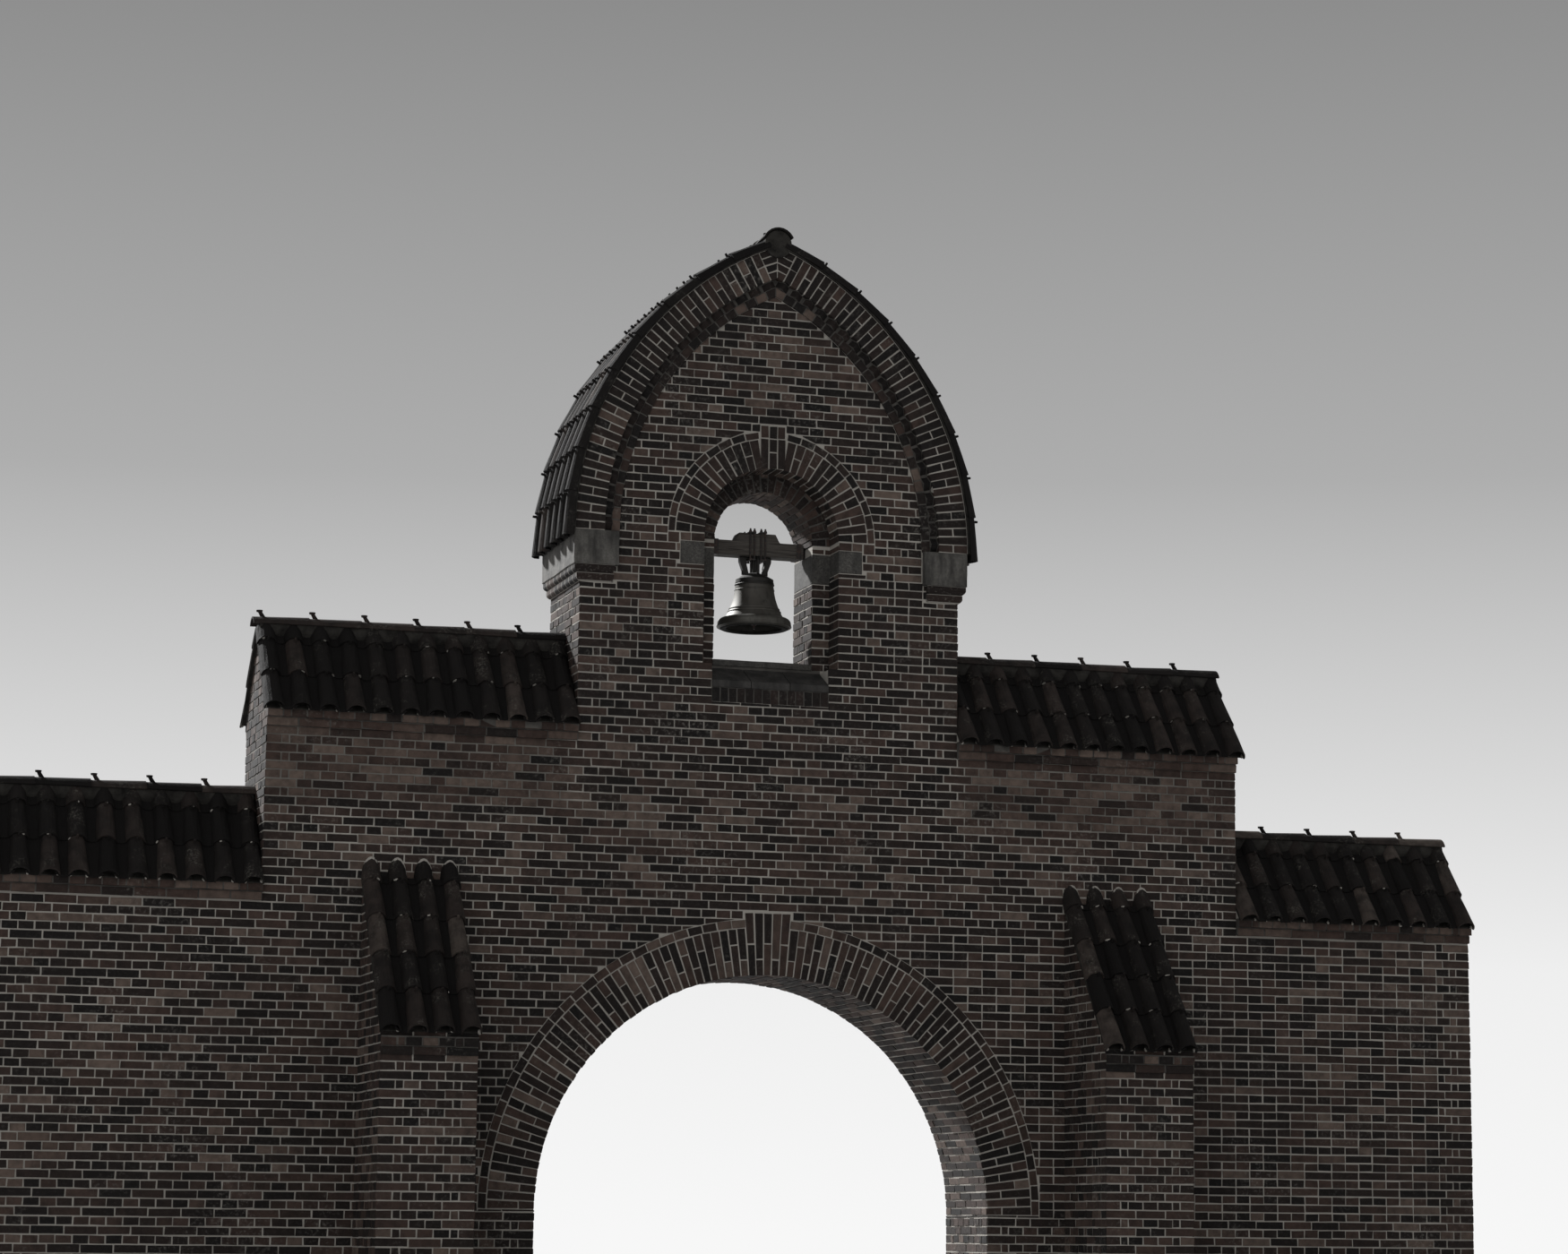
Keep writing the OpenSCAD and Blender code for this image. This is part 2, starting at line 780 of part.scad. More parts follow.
// Pairs of rods down both faces, joined over the top by plates and under the loops by feet.
module headstock_straps() {
    rod_y = headstock_t / 2 + strap_r + seat;
    top_z = headstock_z + arm_h + hump_h;
    loop_in = loop_r - loop_rod_r;
    foot_half = 8;
    foot_drop = loop_in - sqrt(loop_in * loop_in - foot_half * foot_half);
    foot_z = headstock_z - loop_rod_r * 2 - foot_drop - plate_t - 2 * seat;
    color([0.15, 0.15, 0.16]) for (s = [-1, 1]) {
        translate([s * loop_x - foot_half, -rod_y - strap_r, foot_z])
            cube([2 * foot_half, 2 * (rod_y + strap_r), plate_t]);
        translate([s * strap_x - strap_pair - 12, -rod_y - 12, top_z + seat])
            cube([2 * strap_pair + 24, 2 * (rod_y + 12), plate_t]);
        for (dx = [-strap_pair, strap_pair], dy = [-rod_y, rod_y])
            translate([s * strap_x + dx, dy, 0]) {
                translate([0, 0, foot_z]) cylinder(r = strap_r, h = top_z - foot_z + plate_t + 26);
                translate([0, 0, top_z + plate_t]) cylinder(r = 12, h = 12, $fn = 6);
            }
        for (y = [-rod_y, rod_y])
            translate([s * strap_x - strap_pair - 8, y - 8, foot_z]) cube([2 * strap_pair + 16, 16, plate_t]);
    }
}

// A plate on each end of the headstock with the pin that turns in the bearing.
module gudgeons() {
    plate = 10;
    color([0.16, 0.16, 0.17]) right_and_left() {
        translate([headstock_x, -45, hinge_z - 40]) cube([plate, 90, 100]);
        translate([headstock_x + plate, 0, hinge_z]) rotate([0, 90, 0])
            cylinder(r = gudgeon_r, h = bearing_len + headstock_gap - plate - 4);
    }
}

mirror([1, 0, 0]) flank_wall();  // left_flank_wall
flank_wall();  // right_flank_wall
mirror([1, 0, 0]) gate_pier();  // left_gate_pier
gate_pier();  // right_gate_pier
gate_arch();
wall_over_gate();
right_and_left() eaves_courses(gable_x, gate_x, gate_wall_h);  // wing_eaves_courses
right_and_left() eaves_courses(gate_x, flank_x, flank_wall_h);  // flank_eaves_courses
mirror([1, 0, 0]) roof_core(gable_x, gate_x, gate_wall_h);  // left_wing_core
roof_core(gable_x, gate_x, gate_wall_h);  // right_wing_core
right_and_left() roof_core(gate_x, flank_x, flank_wall_h);  // flank_cores
mirror([1, 0, 0]) wing_roof();  // left_wing_roof
wing_roof();  // right_wing_roof
mirror([1, 0, 0]) flank_roof();  // left_flank_roof
flank_roof();  // right_flank_roof
right_and_left() ridge_tiles(gable_x, gate_x + roof_over, gate_wall_h);  // wing_ridges
right_and_left() ridge_tiles(gate_x, flank_x, flank_wall_h);  // flank_ridges
gable_apron();
mirror([1, 0, 0]) gable_pier();  // left_gable_pier
gable_pier();  // right_gable_pier
gable_head();
window_arches();
inner_window_arch();
outer_impost_stones();
inner_impost_stones();
window_breast();
inner_sill();
sloping_sills();
kneeler_stones();
kneeler_mouldings();
mirror([1, 0, 0]) verge_ring();  // left_verge_ring
verge_ring();  // right_verge_ring
dog_tooth_bands();
mirror([1, 0, 0]) gable_roof();  // left_gable_roof
gable_roof();  // right_gable_roof
gable_ridge();
buttresses();
buttress_mouldings();
buttress_roofs();
bearings();
bell();
clapper();
headstock();
headstock_straps();
gudgeons();
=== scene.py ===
"""A brick bell gable over a gateway: bricks, tiles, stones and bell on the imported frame."""

import json
import math
import random

import bmesh
import bpy
import numpy as np
from mathutils import Matrix, Vector, noise


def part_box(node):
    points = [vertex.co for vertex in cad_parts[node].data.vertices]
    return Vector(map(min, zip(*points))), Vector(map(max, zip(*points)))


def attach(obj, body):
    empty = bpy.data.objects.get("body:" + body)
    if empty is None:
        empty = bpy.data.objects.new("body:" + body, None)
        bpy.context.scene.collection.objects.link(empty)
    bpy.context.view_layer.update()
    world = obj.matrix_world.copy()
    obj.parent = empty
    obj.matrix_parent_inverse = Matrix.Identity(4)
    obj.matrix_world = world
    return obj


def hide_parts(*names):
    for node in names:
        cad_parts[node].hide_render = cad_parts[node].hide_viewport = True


bl_info = {
    "name": "Bell gable",
    "version": (1, 0, 0),
    "blender": (4, 5, 0),
    "location": "3D View > Sidebar > Bell gable",
    "description": "Lays the bricks, tiles and stones of a bell gable and hangs its bell",
    "category": "Object",
}

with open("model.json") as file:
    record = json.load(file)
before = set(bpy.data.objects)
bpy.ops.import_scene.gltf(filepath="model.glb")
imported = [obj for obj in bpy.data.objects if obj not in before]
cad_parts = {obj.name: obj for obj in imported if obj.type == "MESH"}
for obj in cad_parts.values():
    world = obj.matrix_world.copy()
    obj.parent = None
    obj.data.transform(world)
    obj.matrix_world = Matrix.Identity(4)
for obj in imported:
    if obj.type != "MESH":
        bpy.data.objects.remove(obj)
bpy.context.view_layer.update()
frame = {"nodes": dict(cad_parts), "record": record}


def reach(node):
    """The highest corner of a node's box."""
    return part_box(node)[1]


def foot(node):
    """The lowest corner of a node's box."""
    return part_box(node)[0]


# Places taken from the frame, in metres

GABLE_X, WALL_Y, BREAST_Z = reach("gable_apron")
GATE_WALL_Z = foot("gable_apron").z
GATE_X = foot("right_flank_wall").x
FLANK_X, _, FLANK_Z = reach("right_flank_wall")
GATE_R = foot("right_gate_pier").x
GATE_SPRING = foot("gate_arch").z
GATE_RING_R, _, GATE_KEY_Z = reach("gate_arch")
_, EAVES_Y, WING_BED_Z = reach("wing_eaves_courses")
FLANK_BED_Z = reach("flank_eaves_courses").z
WING_TOP_Z = reach("right_wing_core").z
FLANK_TOP_Z = reach("flank_cores").z
WING_END_X = reach("right_wing_roof").x
SILL_X, _, ORDER_FOOT_Z = reach("sloping_sills")
_, SILL_NOSE_Y, SILL_NOSE_Z = foot("sloping_sills")
INNER_R, _, SLAB_TOP_Z = reach("inner_sill")
INNER_RING_R, ORDER_Y, _ = reach("inner_window_arch")
WINDOW_SPRING = foot("window_arches").z
WINDOW_RING_R, _, WINDOW_KEY_Z = reach("window_arches")
IMPOST_X, _, IMPOST_TOP = reach("outer_impost_stones")
IMPOST_Z = foot("outer_impost_stones").z
INNER_IMPOST_Z = foot("inner_impost_stones").z
KNEELER_X, VERGE_Y, VERGE_SPRING = reach("kneeler_stones")
KNEELER_Z = foot("kneeler_stones").z
MOULDING_Z = foot("kneeler_mouldings").z
VERGE_X, _, VERGE_APEX = reach("right_verge_ring")
VERGE_RISE = VERGE_APEX - VERGE_SPRING
VERGE_R = (VERGE_X ** 2 + VERGE_RISE ** 2) / (2 * VERGE_X)
VERGE_CX = VERGE_R - VERGE_X
BUTTRESS_X, BUTTRESS_Y, BUTTRESS_TOP = reach("buttresses")
BUTTRESS_STEP_Z = foot("buttress_mouldings").z
BUTTRESS_PITCH = math.radians(53)
ROOF_SLOPE = math.atan2(WING_TOP_Z - WING_BED_Z, EAVES_Y)
MOUTH_Z = foot("bell").z
SHOULDER_Z = MOUTH_Z + 0.4

# The hollow of the bell, whose section is an arc about a point outside it
HOLLOW_CENTRE_R = 0.736
HOLLOW_CENTRE_Z = SHOULDER_Z - 0.022
HOLLOW_RADIUS_SQUARED = 0.3516


# Sizes and colours that a user would change

def length(label, default, about):
    """A size in metres that shows in the sidebar."""
    return bpy.props.FloatProperty(
        name=label, default=default, description=about, unit="LENGTH", min=0.0, precision=4)


def colour(label, default, about):
    """A colour that shows in the sidebar."""
    return bpy.props.FloatVectorProperty(
        name=label, default=default, description=about, subtype="COLOR", size=3, min=0.0, max=1.0)


def strength(label, default, about):
    """The strength of a light that shows in the sidebar."""
    return bpy.props.FloatProperty(name=label, default=default, description=about, min=0.0)


class BrickSizes(bpy.types.PropertyGroup):
    course: length("Course", 0.06667, "Height of one course with its joint")
    quarter: length("Quarter", 0.06, "A quarter of a stretcher with its joint")
    joint: length("Joint", 0.011, "Width of the mortar joints")
    proud: length("Proud", 0.005, "How far the bricks stand out from the mortar")
    arris: length("Arris", 0.0022, "Width of the worn edge of a brick")
    window_half: length("Window", 0.556, "Half of the outer width of the bell window")
    gate_brick: length("Gate ring", 0.36, "Depth of the gate ring without its label")
    window_brick: length("Window ring", 0.236, "Depth of the window ring without its label")
    verge_brick: length("Verge", 0.24, "Depth of the verge ring")
    tooth: length("Tooth course", 0.064, "Depth of the dog-tooth course")
    plain: length("Plain course", 0.064, "Depth of the plain course under the teeth")
    plain_proud: length("Plain proud", 0.018, "How far the plain course stands out")
    kneeler: length("Kneeler", 0.36, "Width of the kneeler stones")
    key_half: length("Window key", 0.105, "Half of the width of the window's key")
    gate_key_half: length("Gate key", 0.2, "Half of the width of the gate's key")
    buttress: length("Buttress", 0.72, "Width of the buttresses")
    corbel: length("Corbel", 0.03, "How far each eaves course steps out")
    buttress_step: length("Buttress step", 0.018, "How far each moulded course steps out")


class TileSizes(bpy.types.PropertyGroup):
    low: length("Wide end", 0.079, "Outer radius of a cover tile at its lower end")
    high: length("Narrow end", 0.0625, "Outer radius of a cover tile at its upper end")
    long: length("Length", 0.4, "Length of a tile")
    gauge: length("Gauge", 0.355, "Spacing of the tile courses")
    wall: length("Thickness", 0.012, "Thickness of a tile")
    lift: length("Lift", 0.012, "Height of the cover tiles over their bed")
    trough: length("Trough", 0.087, "Outer radius of the channel tiles")
    knob: length("Knob", 0.03, "Height of the knob on a cover tile")
    ridge: length("Ridge", 0.118, "Outer radius of a ridge tile")
    ridge_knob: length("Ridge knob", 0.05, "Height of the knob on a ridge tile")


class Finishes(bpy.types.PropertyGroup):
    burnt: colour("Burnt brick", (0.005, 0.0047, 0.0047), "The darkest bricks")
    brown: colour("Brown brick", (0.0165, 0.0115, 0.01), "Most bricks")
    red: colour("Red brick", (0.043, 0.0275, 0.0225), "The lighter bricks")
    pale: colour("Pale brick", (0.105, 0.079, 0.065), "The lightest bricks")
    mortar: colour("Mortar", (0.27, 0.255, 0.23), "Lime mortar in the joints")
    # The roof mortar is weathered, and also serves as a painted shade in the hollows of the dog-tooth band,
    # under the eaves courses and under the tiles.
    sooty: colour("Roof mortar", (0.07, 0.066, 0.06), "Weathered mortar under the tiles")
    clay: colour("Tile", (0.03, 0.0235, 0.021), "Weathered clay tiles")
    lichen: colour("Lichen", (0.12, 0.115, 0.1), "Lichen on tiles and stones")
    stone: colour("Stone", (0.062, 0.059, 0.054), "Speckled dressed stones")
    sill: colour("Sill", (0.036, 0.034, 0.032), "Stained sloping sills")
    bronze: colour("Bronze", (0.055, 0.051, 0.045), "Weathered bell bronze")
    iron: colour("Iron", (0.016, 0.015, 0.015), "Rusted ironwork")
    oak: colour("Oak", (0.036, 0.031, 0.027), "Weathered oak of the headstock")


class Studio(bpy.types.PropertyGroup):
    sky: strength("Sky", 0.42, "Strength of the soft light all round")
    sun: strength("Sun", 9.0, "Strength of the key from behind the left")
    fill: strength("Fill", 0.4, "Strength of the fill from the front")
    floor: colour("Floor", (0.42, 0.42, 0.42), "The pale floor")


# Shader helpers

class Wire:
    """A shader socket on which Python's operators add Math nodes."""

    def __init__(self, nodes, socket):
        self.nodes = nodes
        self.socket = socket

    def work(self, operation, *others, clamp=False):
        """Adds a Math node with this value as its first input."""
        settings = {"operation": operation, "use_clamp": clamp}
        return self.nodes.node("ShaderNodeMath", settings, dict(enumerate((self, *others))))

    def __add__(self, other):
        return self.work("ADD", other)

    def __sub__(self, other):
        return self.work("SUBTRACT", other)

    def __rsub__(self, other):
        return self.work("MULTIPLY_ADD", -1.0, other)

    def __mul__(self, other):
        return self.work("MULTIPLY", other)

    def __truediv__(self, other):
        return self.work("DIVIDE", other)

    def __pow__(self, other):
        return self.work("POWER", other)

    __radd__ = __add__
    __rmul__ = __mul__

    def between(self, low, high):
        """How far the value has come from low to high, held to 0 and 1."""
        return (self - low).work("DIVIDE", high - low, clamp=True)


class Nodes:
    """A node tree that is filled through one method."""

    def __init__(self, tree):
        self.tree = tree
        tree.nodes.clear()

    def node(self, kind, settings=None, inputs=None, output=0):
        """Adds a node with its settings, then the values or links of its sockets."""
        made = self.tree.nodes.new(kind)
        for key, value in (settings or {}).items():
            if key == "stops":
                self.set_stops(made.color_ramp, value)
            else:
                setattr(made, key, value)
        for key, value in (inputs or {}).items():
            self.feed(made.inputs[key], value)
        return Wire(self, made.outputs[output])

    def feed(self, socket, value):
        if isinstance(value, Wire):
            self.tree.links.new(value.socket, socket)
        else:
            socket.default_value = (*value, 1.0) if socket.type == "RGBA" else value

    def close(self, kind, shader):
        """Links a shader to the output node of the tree."""
        self.tree.links.new(shader, self.tree.nodes.new(kind).inputs[0])

    @staticmethod
    def set_stops(ramp, stops):
        while len(ramp.elements) < len(stops):
            ramp.elements.new(0.5)
        for element, (place, shade) in zip(ramp.elements, stops):
            element.position = place
            element.color = (*([shade] * 3 if isinstance(shade, float) else shade), 1.0)


class Finish(Nodes):
    """One material, built on Object coordinates and the bricks' own tones."""

    def __init__(self, name, roughness, specular=0.5, metallic=0.0):
        self.material = bpy.data.materials.new(name)
        self.material.use_nodes = True
        super().__init__(self.material.node_tree)
        self.shader = self.tree.nodes.new("ShaderNodeBsdfPrincipled")
        self.close("ShaderNodeOutputMaterial", self.shader.outputs[0])
        looks = {"Roughness": roughness, "Specular IOR Level": specular, "Metallic": metallic}
        for key, value in looks.items():
            self.surface(key, value)

    def surface(self, key, value):
        """Sets or links a socket of the surface."""
        self.feed(self.shader.inputs[key], value)

    def place(self):
        return self.node("ShaderNodeTexCoord", output="Object")

    def axes(self):
        """The place along X, through the wall and up, as three numbers."""
        split = self.node("ShaderNodeSeparateXYZ", None, {0: self.place()})
        return [Wire(self, socket) for socket in split.socket.node.outputs]

    def stretched(self, x, y, z):
        return self.node("ShaderNodeMapping", None, {"Vector": self.place(), "Scale": (x, y, z)})

    def noise(self, scale, detail=4.0, roughness=0.55, where=None):
        inputs = {"Vector": where or self.place(), "Scale": scale, "Detail": detail, "Roughness": roughness}
        return self.node("ShaderNodeTexNoise", None, inputs)

    def tone(self):
        return self.node("ShaderNodeAttribute", {"attribute_name": "tone"}, output="Fac")

    def tones(self, value, *stops):
        """Starts the body of the finish with a ramp of colours."""
        self.body = self.node("ShaderNodeValToRGB", {"stops": stops}, {0: value})

    def over(self, mask, shade):
        """Lays a colour over the body of the finish where the mask is 1."""
        settings = {"data_type": "RGBA", "blend_type": "MIX", "clamp_factor": True}
        self.body = self.node("ShaderNodeMix", settings, {0: mask, 6: self.body, 7: shade}, output=2)

    def bump(self, height, distance, strength):
        inputs = {"Height": height, "Distance": distance, "Strength": strength}
        self.surface("Normal", self.node("ShaderNodeBump", None, inputs))


def tinted(shade, factor):
    """A colour made lighter or darker."""
    return tuple(factor * part for part in shade)


# Finishes

def brick_finish(made, shades):
    made.tones(made.tone(), (0.0, shades.burnt), (0.3, shades.brown), (0.62, shades.red), (1.0, shades.pale))
    blotch = made.noise(16.0, 5.0, 0.6)
    made.over(blotch.between(0.4, 0.75) * 0.55, shades.burnt)
    streak = made.noise(1.0, 5.0, 0.6, made.stretched(2.4, 2.4, 0.5))
    made.over(streak.between(0.5, 0.78) * 0.4, shades.burnt)
    smear = made.noise(38.0, 5.0, 0.7)
    patch = made.noise(2.1, 4.0, 0.55)
    made.over(smear.between(0.52, 0.74) * (0.05 + patch.between(0.52, 0.68) * 0.4), shades.mortar)
    grit = made.noise(210.0, 3.0, 0.7)
    made.over(grit.between(0.62, 0.74) * 0.14, shades.mortar)
    made.surface("Roughness", 0.78 + blotch * 0.18)
    made.bump(grit * 0.3 + smear * 0.7, 0.0028, 0.9)


def mortar_finish(made, shades):
    """Lime mortar that is damp in streaks, and dark on the shoulders beside the gable."""
    made.body = shades.mortar
    damp = made.noise(1.3, 5.0, 0.6, made.stretched(1.0, 1.0, 0.5))
    made.over(damp.between(0.42, 0.72) * 0.55, tinted(shades.mortar, 0.42))
    sand = made.noise(420.0, 2.0, 0.8)
    made.over(sand.between(0.35, 0.65) * 0.3, tinted(shades.mortar, 1.35))
    across, _, up = made.axes()
    beside = across.work("ABSOLUTE").between(GABLE_X, GABLE_X + 0.12)
    high_up = (up + damp * 0.3).between(GATE_WALL_Z - 0.5, GATE_WALL_Z - 0.3)
    made.over(beside * high_up * 0.75, tinted(shades.mortar, 0.3))
    made.bump(sand + made.noise(60.0) * 0.8, 0.002, 0.9)


def blackened(made, base, amount, soot):
    """Dark mortar, blackened further in patches. Under the tiles and in hollows its darkness is partly a
    painted shade.
    """
    made.body = base
    made.over(made.noise(9.0, 5.0, 0.65).between(0.4, 0.68) * amount, soot)
    made.bump(made.noise(70.0), 0.004, 0.9)


# Dark roof mortar; where it lines hollows and undersides it is a painted shade.
def sooty_finish(made, shades):
    blackened(made, shades.sooty, 0.75, (0.02, 0.019, 0.018))


# Painted shade: the mortar under the tiles is held far darker than the roof mortar, for the gaps and hollows
# under the tiles, and it blackens in patches.
def bed_finish(made, shades):
    blackened(made, tinted(shades.sooty, 0.4), 1.0, (0.008, 0.0076, 0.0072))


def tile_finish(made, shades):
    # The lowest tones of the ramp are a painted shade: the channel tiles between the covers take them.
    made.tones(
        made.tone(), (0.0, (0.006, 0.0055, 0.0054)), (0.35, (0.012, 0.0105, 0.01)), (0.8, shades.clay),
        (1.0, (0.07, 0.058, 0.05)))
    made.over(made.noise(8.0, 5.0, 0.62).between(0.42, 0.66) * 0.7, (0.008, 0.0075, 0.0072))
    crust = made.noise(52.0, 6.0, 0.72)
    patch = made.noise(5.5, 4.0, 0.6)
    # Lichen stays off the lowest tones, which are the painted shade of the channels.
    lichen = crust.between(0.5, 0.64) * patch.between(0.5, 0.68) * made.tone().between(0.1, 0.3)
    made.over(lichen * 0.6, shades.lichen)
    made.surface("Roughness", 0.72 + crust * 0.25)
    made.bump(crust * 0.7 + made.noise(160.0) * 0.3, 0.004, 0.9)


def cut_stone(made, base, stain, speckle):
    """A dressed stone with grains, stains that run down, and a rough face."""
    made.body = base
    grain = made.noise(48.0, 5.0, 0.75)
    made.over(grain.between(0.42, 0.6) * speckle, tinted(base, 0.4))
    speck = made.node("ShaderNodeTexVoronoi", None, {"Vector": made.place(), "Scale": 85.0})
    made.over(speck.between(0.62, 0.8) * speckle * 0.6, tinted(base, 1.7))
    runs = made.noise(7.5, 5.0, 0.6, made.stretched(1.5, 1.5, 0.5))
    made.over(runs.between(0.36, 0.62) * stain, tinted(base, 0.25))
    made.bump(grain * 0.5 + made.noise(26.0) * 0.9, 0.0026, 0.9)


def stone_finish(made, shades):
    cut_stone(made, tinted(shades.stone, 0.95), 0.6, 1.0)


def kneeler_finish(made, shades):
    cut_stone(made, tinted(shades.stone, 1.4), 1.0, 0.45)


def sill_finish(made, shades):
    cut_stone(made, shades.sill, 0.85, 0.5)


def bronze_finish(made, shades):
    """Weathered bronze, dark over the shoulder, with a painted shade near black in the hollow of the bell and
    on the underside of its lip.
    """
    made.body = shades.bronze
    runs_down = made.stretched(1.0, 1.0, 0.35)
    patina = made.noise(9.0, 5.0, 0.6, runs_down)
    made.over(patina.between(0.4, 0.68) * 0.8, (0.095, 0.093, 0.083))
    drip = made.noise(30.0, 3.0, 0.6, runs_down)
    made.over(drip.between(0.55, 0.75) * 0.6, (0.018, 0.017, 0.016))
    across, through, up = made.axes()
    over_shoulder = (up + patina * 0.05).between(SHOULDER_Z - 0.04, SHOULDER_Z - 0.01)
    made.over(over_shoulder * 0.85, (0.014, 0.0135, 0.013))
    # Painted shade: the inner face of the bell and the underside of its lip are painted near black.
    radius = (across * across + through * through) ** 0.5
    drop = HOLLOW_CENTRE_Z - up
    middle_of_wall = HOLLOW_CENTRE_R - (HOLLOW_RADIUS_SQUARED - drop * drop) ** 0.5
    hollow = (middle_of_wall - radius).between(-0.001, 0.001) * (SHOULDER_Z - 0.05 - up).between(0.0, 0.01)
    inside = hollow.work("MAXIMUM", (MOUTH_Z + 0.006 - up).between(0.0, 0.004))
    made.over(inside * 0.93, (0.004, 0.0038, 0.0036))
    made.surface("Metallic", 0.55 - inside * 0.55)
    made.surface("Roughness", 0.42 + patina * 0.3 + inside * 0.45)
    made.bump(drip + made.noise(120.0) * 0.4, 0.0008, 0.5)


def iron_finish(made, shades):
    made.body = shades.iron
    rust = made.noise(55.0, 5.0, 0.65)
    made.over(rust.between(0.46, 0.66) * 0.7, (0.075, 0.042, 0.03))
    made.surface("Roughness", 0.55 + rust * 0.3)
    made.bump(rust, 0.001, 0.6)


def oak_finish(made, shades):
    made.body = shades.oak
    grain = made.noise(3.0, 6.0, 0.65, made.stretched(1.6, 26.0, 30.0))
    made.over(grain.between(0.35, 0.7), (0.07, 0.064, 0.057))
    crack = made.noise(2.0, 3.0, 0.5, made.stretched(2.0, 70.0, 75.0))
    made.over(crack.between(0.58, 0.66) * 0.85, (0.012, 0.01, 0.009))
    made.bump(grain - crack.between(0.56, 0.68), 0.003, 0.8)


def moulded_finish(made, shades):
    """Rounded bricks whose joints come from the height and the place through the wall."""
    sizes = bpy.context.scene.bell_gable_bricks
    _, through, up = made.axes()
    row = (up - MOULDING_Z) / sizes.course
    header = 2 * sizes.quarter
    along = (through + row.work("FLOOR") * sizes.quarter) / header
    upright, level = [
        (place.work("FRACT") - 0.5).work("ABSOLUTE").between(0.44, 0.46) for place in (along, row)]
    joint = upright.work("MAXIMUM", level)
    chance = made.node("ShaderNodeTexWhiteNoise", {"noise_dimensions": "1D"}, {"W": along.work("FLOOR")})
    made.tones(chance, (0.0, shades.burnt), (0.5, shades.brown), (1.0, shades.red))
    grit = made.noise(46.0, 4.0, 0.65)
    made.over(grit.between(0.55, 0.75) * 0.4, shades.mortar)
    made.over(joint * 0.8, shades.mortar)
    made.bump(grit * 0.5 - joint, 0.004, 0.9)


# The maker of each finish, its name, and its roughness, specular level and metal
MAKERS = {
    "brick": (brick_finish, "fired brick", 0.88, 0.16),
    "mortar": (mortar_finish, "lime mortar", 0.95, 0.2),
    "sooty": (sooty_finish, "weathered and shaded roof mortar", 0.95, 0.2),
    "bed": (bed_finish, "bed under the tiles", 0.95, 0.05),
    "tile": (tile_finish, "weathered tile", 0.85, 0.08),
    "stone": (stone_finish, "dressed stone", 0.82, 0.3),
    "kneeler": (kneeler_finish, "kneeler stone", 0.82, 0.3),
    "sill": (sill_finish, "stained sill stone", 0.82, 0.3),
    "bronze": (bronze_finish, "bell bronze", 0.5, 0.25, 0.55),
    "iron": (iron_finish, "rusted iron", 0.7, 0.5, 0.4),
    "oak": (oak_finish, "weathered oak", 0.85, 0.25),
    "moulded": (moulded_finish, "moulded brick", 0.88, 0.16),
}
MADE = {}


def finish(name):
    """The named material, made the first time that it is asked for."""
    if name not in MADE:
        maker, *looks = MAKERS[name]
        MADE[name] = Finish(*looks)
        maker(MADE[name], bpy.context.scene.bell_gable_finishes)
        MADE[name].surface("Base Color", MADE[name].body)
    return MADE[name].material


# Mesh helpers

IDENTITY = Matrix.Identity(4)
TURNED = Matrix.Rotation(math.pi, 4, "Z")
MIRRORED = Matrix.Scale(-1, 4, (1, 0, 0))
FACES = (IDENTITY, TURNED)
QUARTERS = (IDENTITY, MIRRORED, TURNED, TURNED @ MIRRORED)
UP = Vector((0, 0, 1))
ALONG = Vector((1, 0, 0))
INTO = Vector((0, 1, 0))


def axes_of(across, along, up, origin=(0, 0, 0)):
    """The matrix whose axes point along three vectors."""
    return Matrix.Translation(origin) @ Matrix((across, along, up)).transposed().to_4x4()


def plane(origin, across, up):
    """The frame of a flat drawing: its x, its y and the way that its bricks face."""
    across = Vector(across)
    up = Vector(up)
    return axes_of(across, up, across.cross(up), origin)


def facing_front(out):
    """The frame of a sheet that faces the viewer, at a distance from the middle."""
    return plane((0, -out, 0), ALONG, UP)


def facing_end(x, way=INTO):
    """The frame of a sheet that faces along the wall."""
    return plane((x, 0, 0), way, UP)


FRONT = facing_front(WALL_Y)


def at(matrix, places=QUARTERS):
    """One place, repeated on both faces, or on both sides of both faces."""
    return [place @ matrix for place in places]


def new_bmesh():
    bm = bmesh.new()
    bm.verts.layers.float.new("tone")
    return bm


def as_mesh(bm, name="master"):
    mesh = bpy.data.meshes.new(name)
    bm.to_mesh(mesh)
    bm.free()
    return mesh


def make_piece(name, bm, material, replaces=(), body="tower"):
    """Turns a mesh into a finished piece that rides on a body."""
    obj = bpy.data.objects.new(name, as_mesh(bm, name))
    bpy.context.scene.collection.objects.link(obj)
    obj.data.materials.append(finish(material))
    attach(obj, body)
    if replaces:
        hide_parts(*replaces)


def add_copy(target, mesh, matrix, tone=None):
    """Adds one copy of a mesh to a piece, the right way out when the matrix mirrors it."""
    copy = mesh.copy()
    copy.transform(matrix)
    if matrix.determinant() < 0:
        copy.flip_normals()
    if tone is not None:
        copy.attributes["tone"].data.foreach_set("value", [tone] * len(copy.vertices))
    target.from_mesh(copy)
    bpy.data.meshes.remove(copy)


def spread(target, bm, places=(IDENTITY,)):
    """Adds a shape to a piece, once for each place, and frees the shape."""
    mesh = as_mesh(bm)
    for place in places:
        add_copy(target, mesh, place)
    bpy.data.meshes.remove(mesh)


def outward(bm):
    bmesh.ops.recalc_face_normals(bm, faces=bm.faces)


def move(bm, verts, way):
    bmesh.ops.translate(bm, verts=verts, vec=way)


def rotate(bm, verts, angle, axis):
    bmesh.ops.rotate(bm, verts=verts, cent=(0, 0, 0), matrix=Matrix.Rotation(angle, 3, axis))


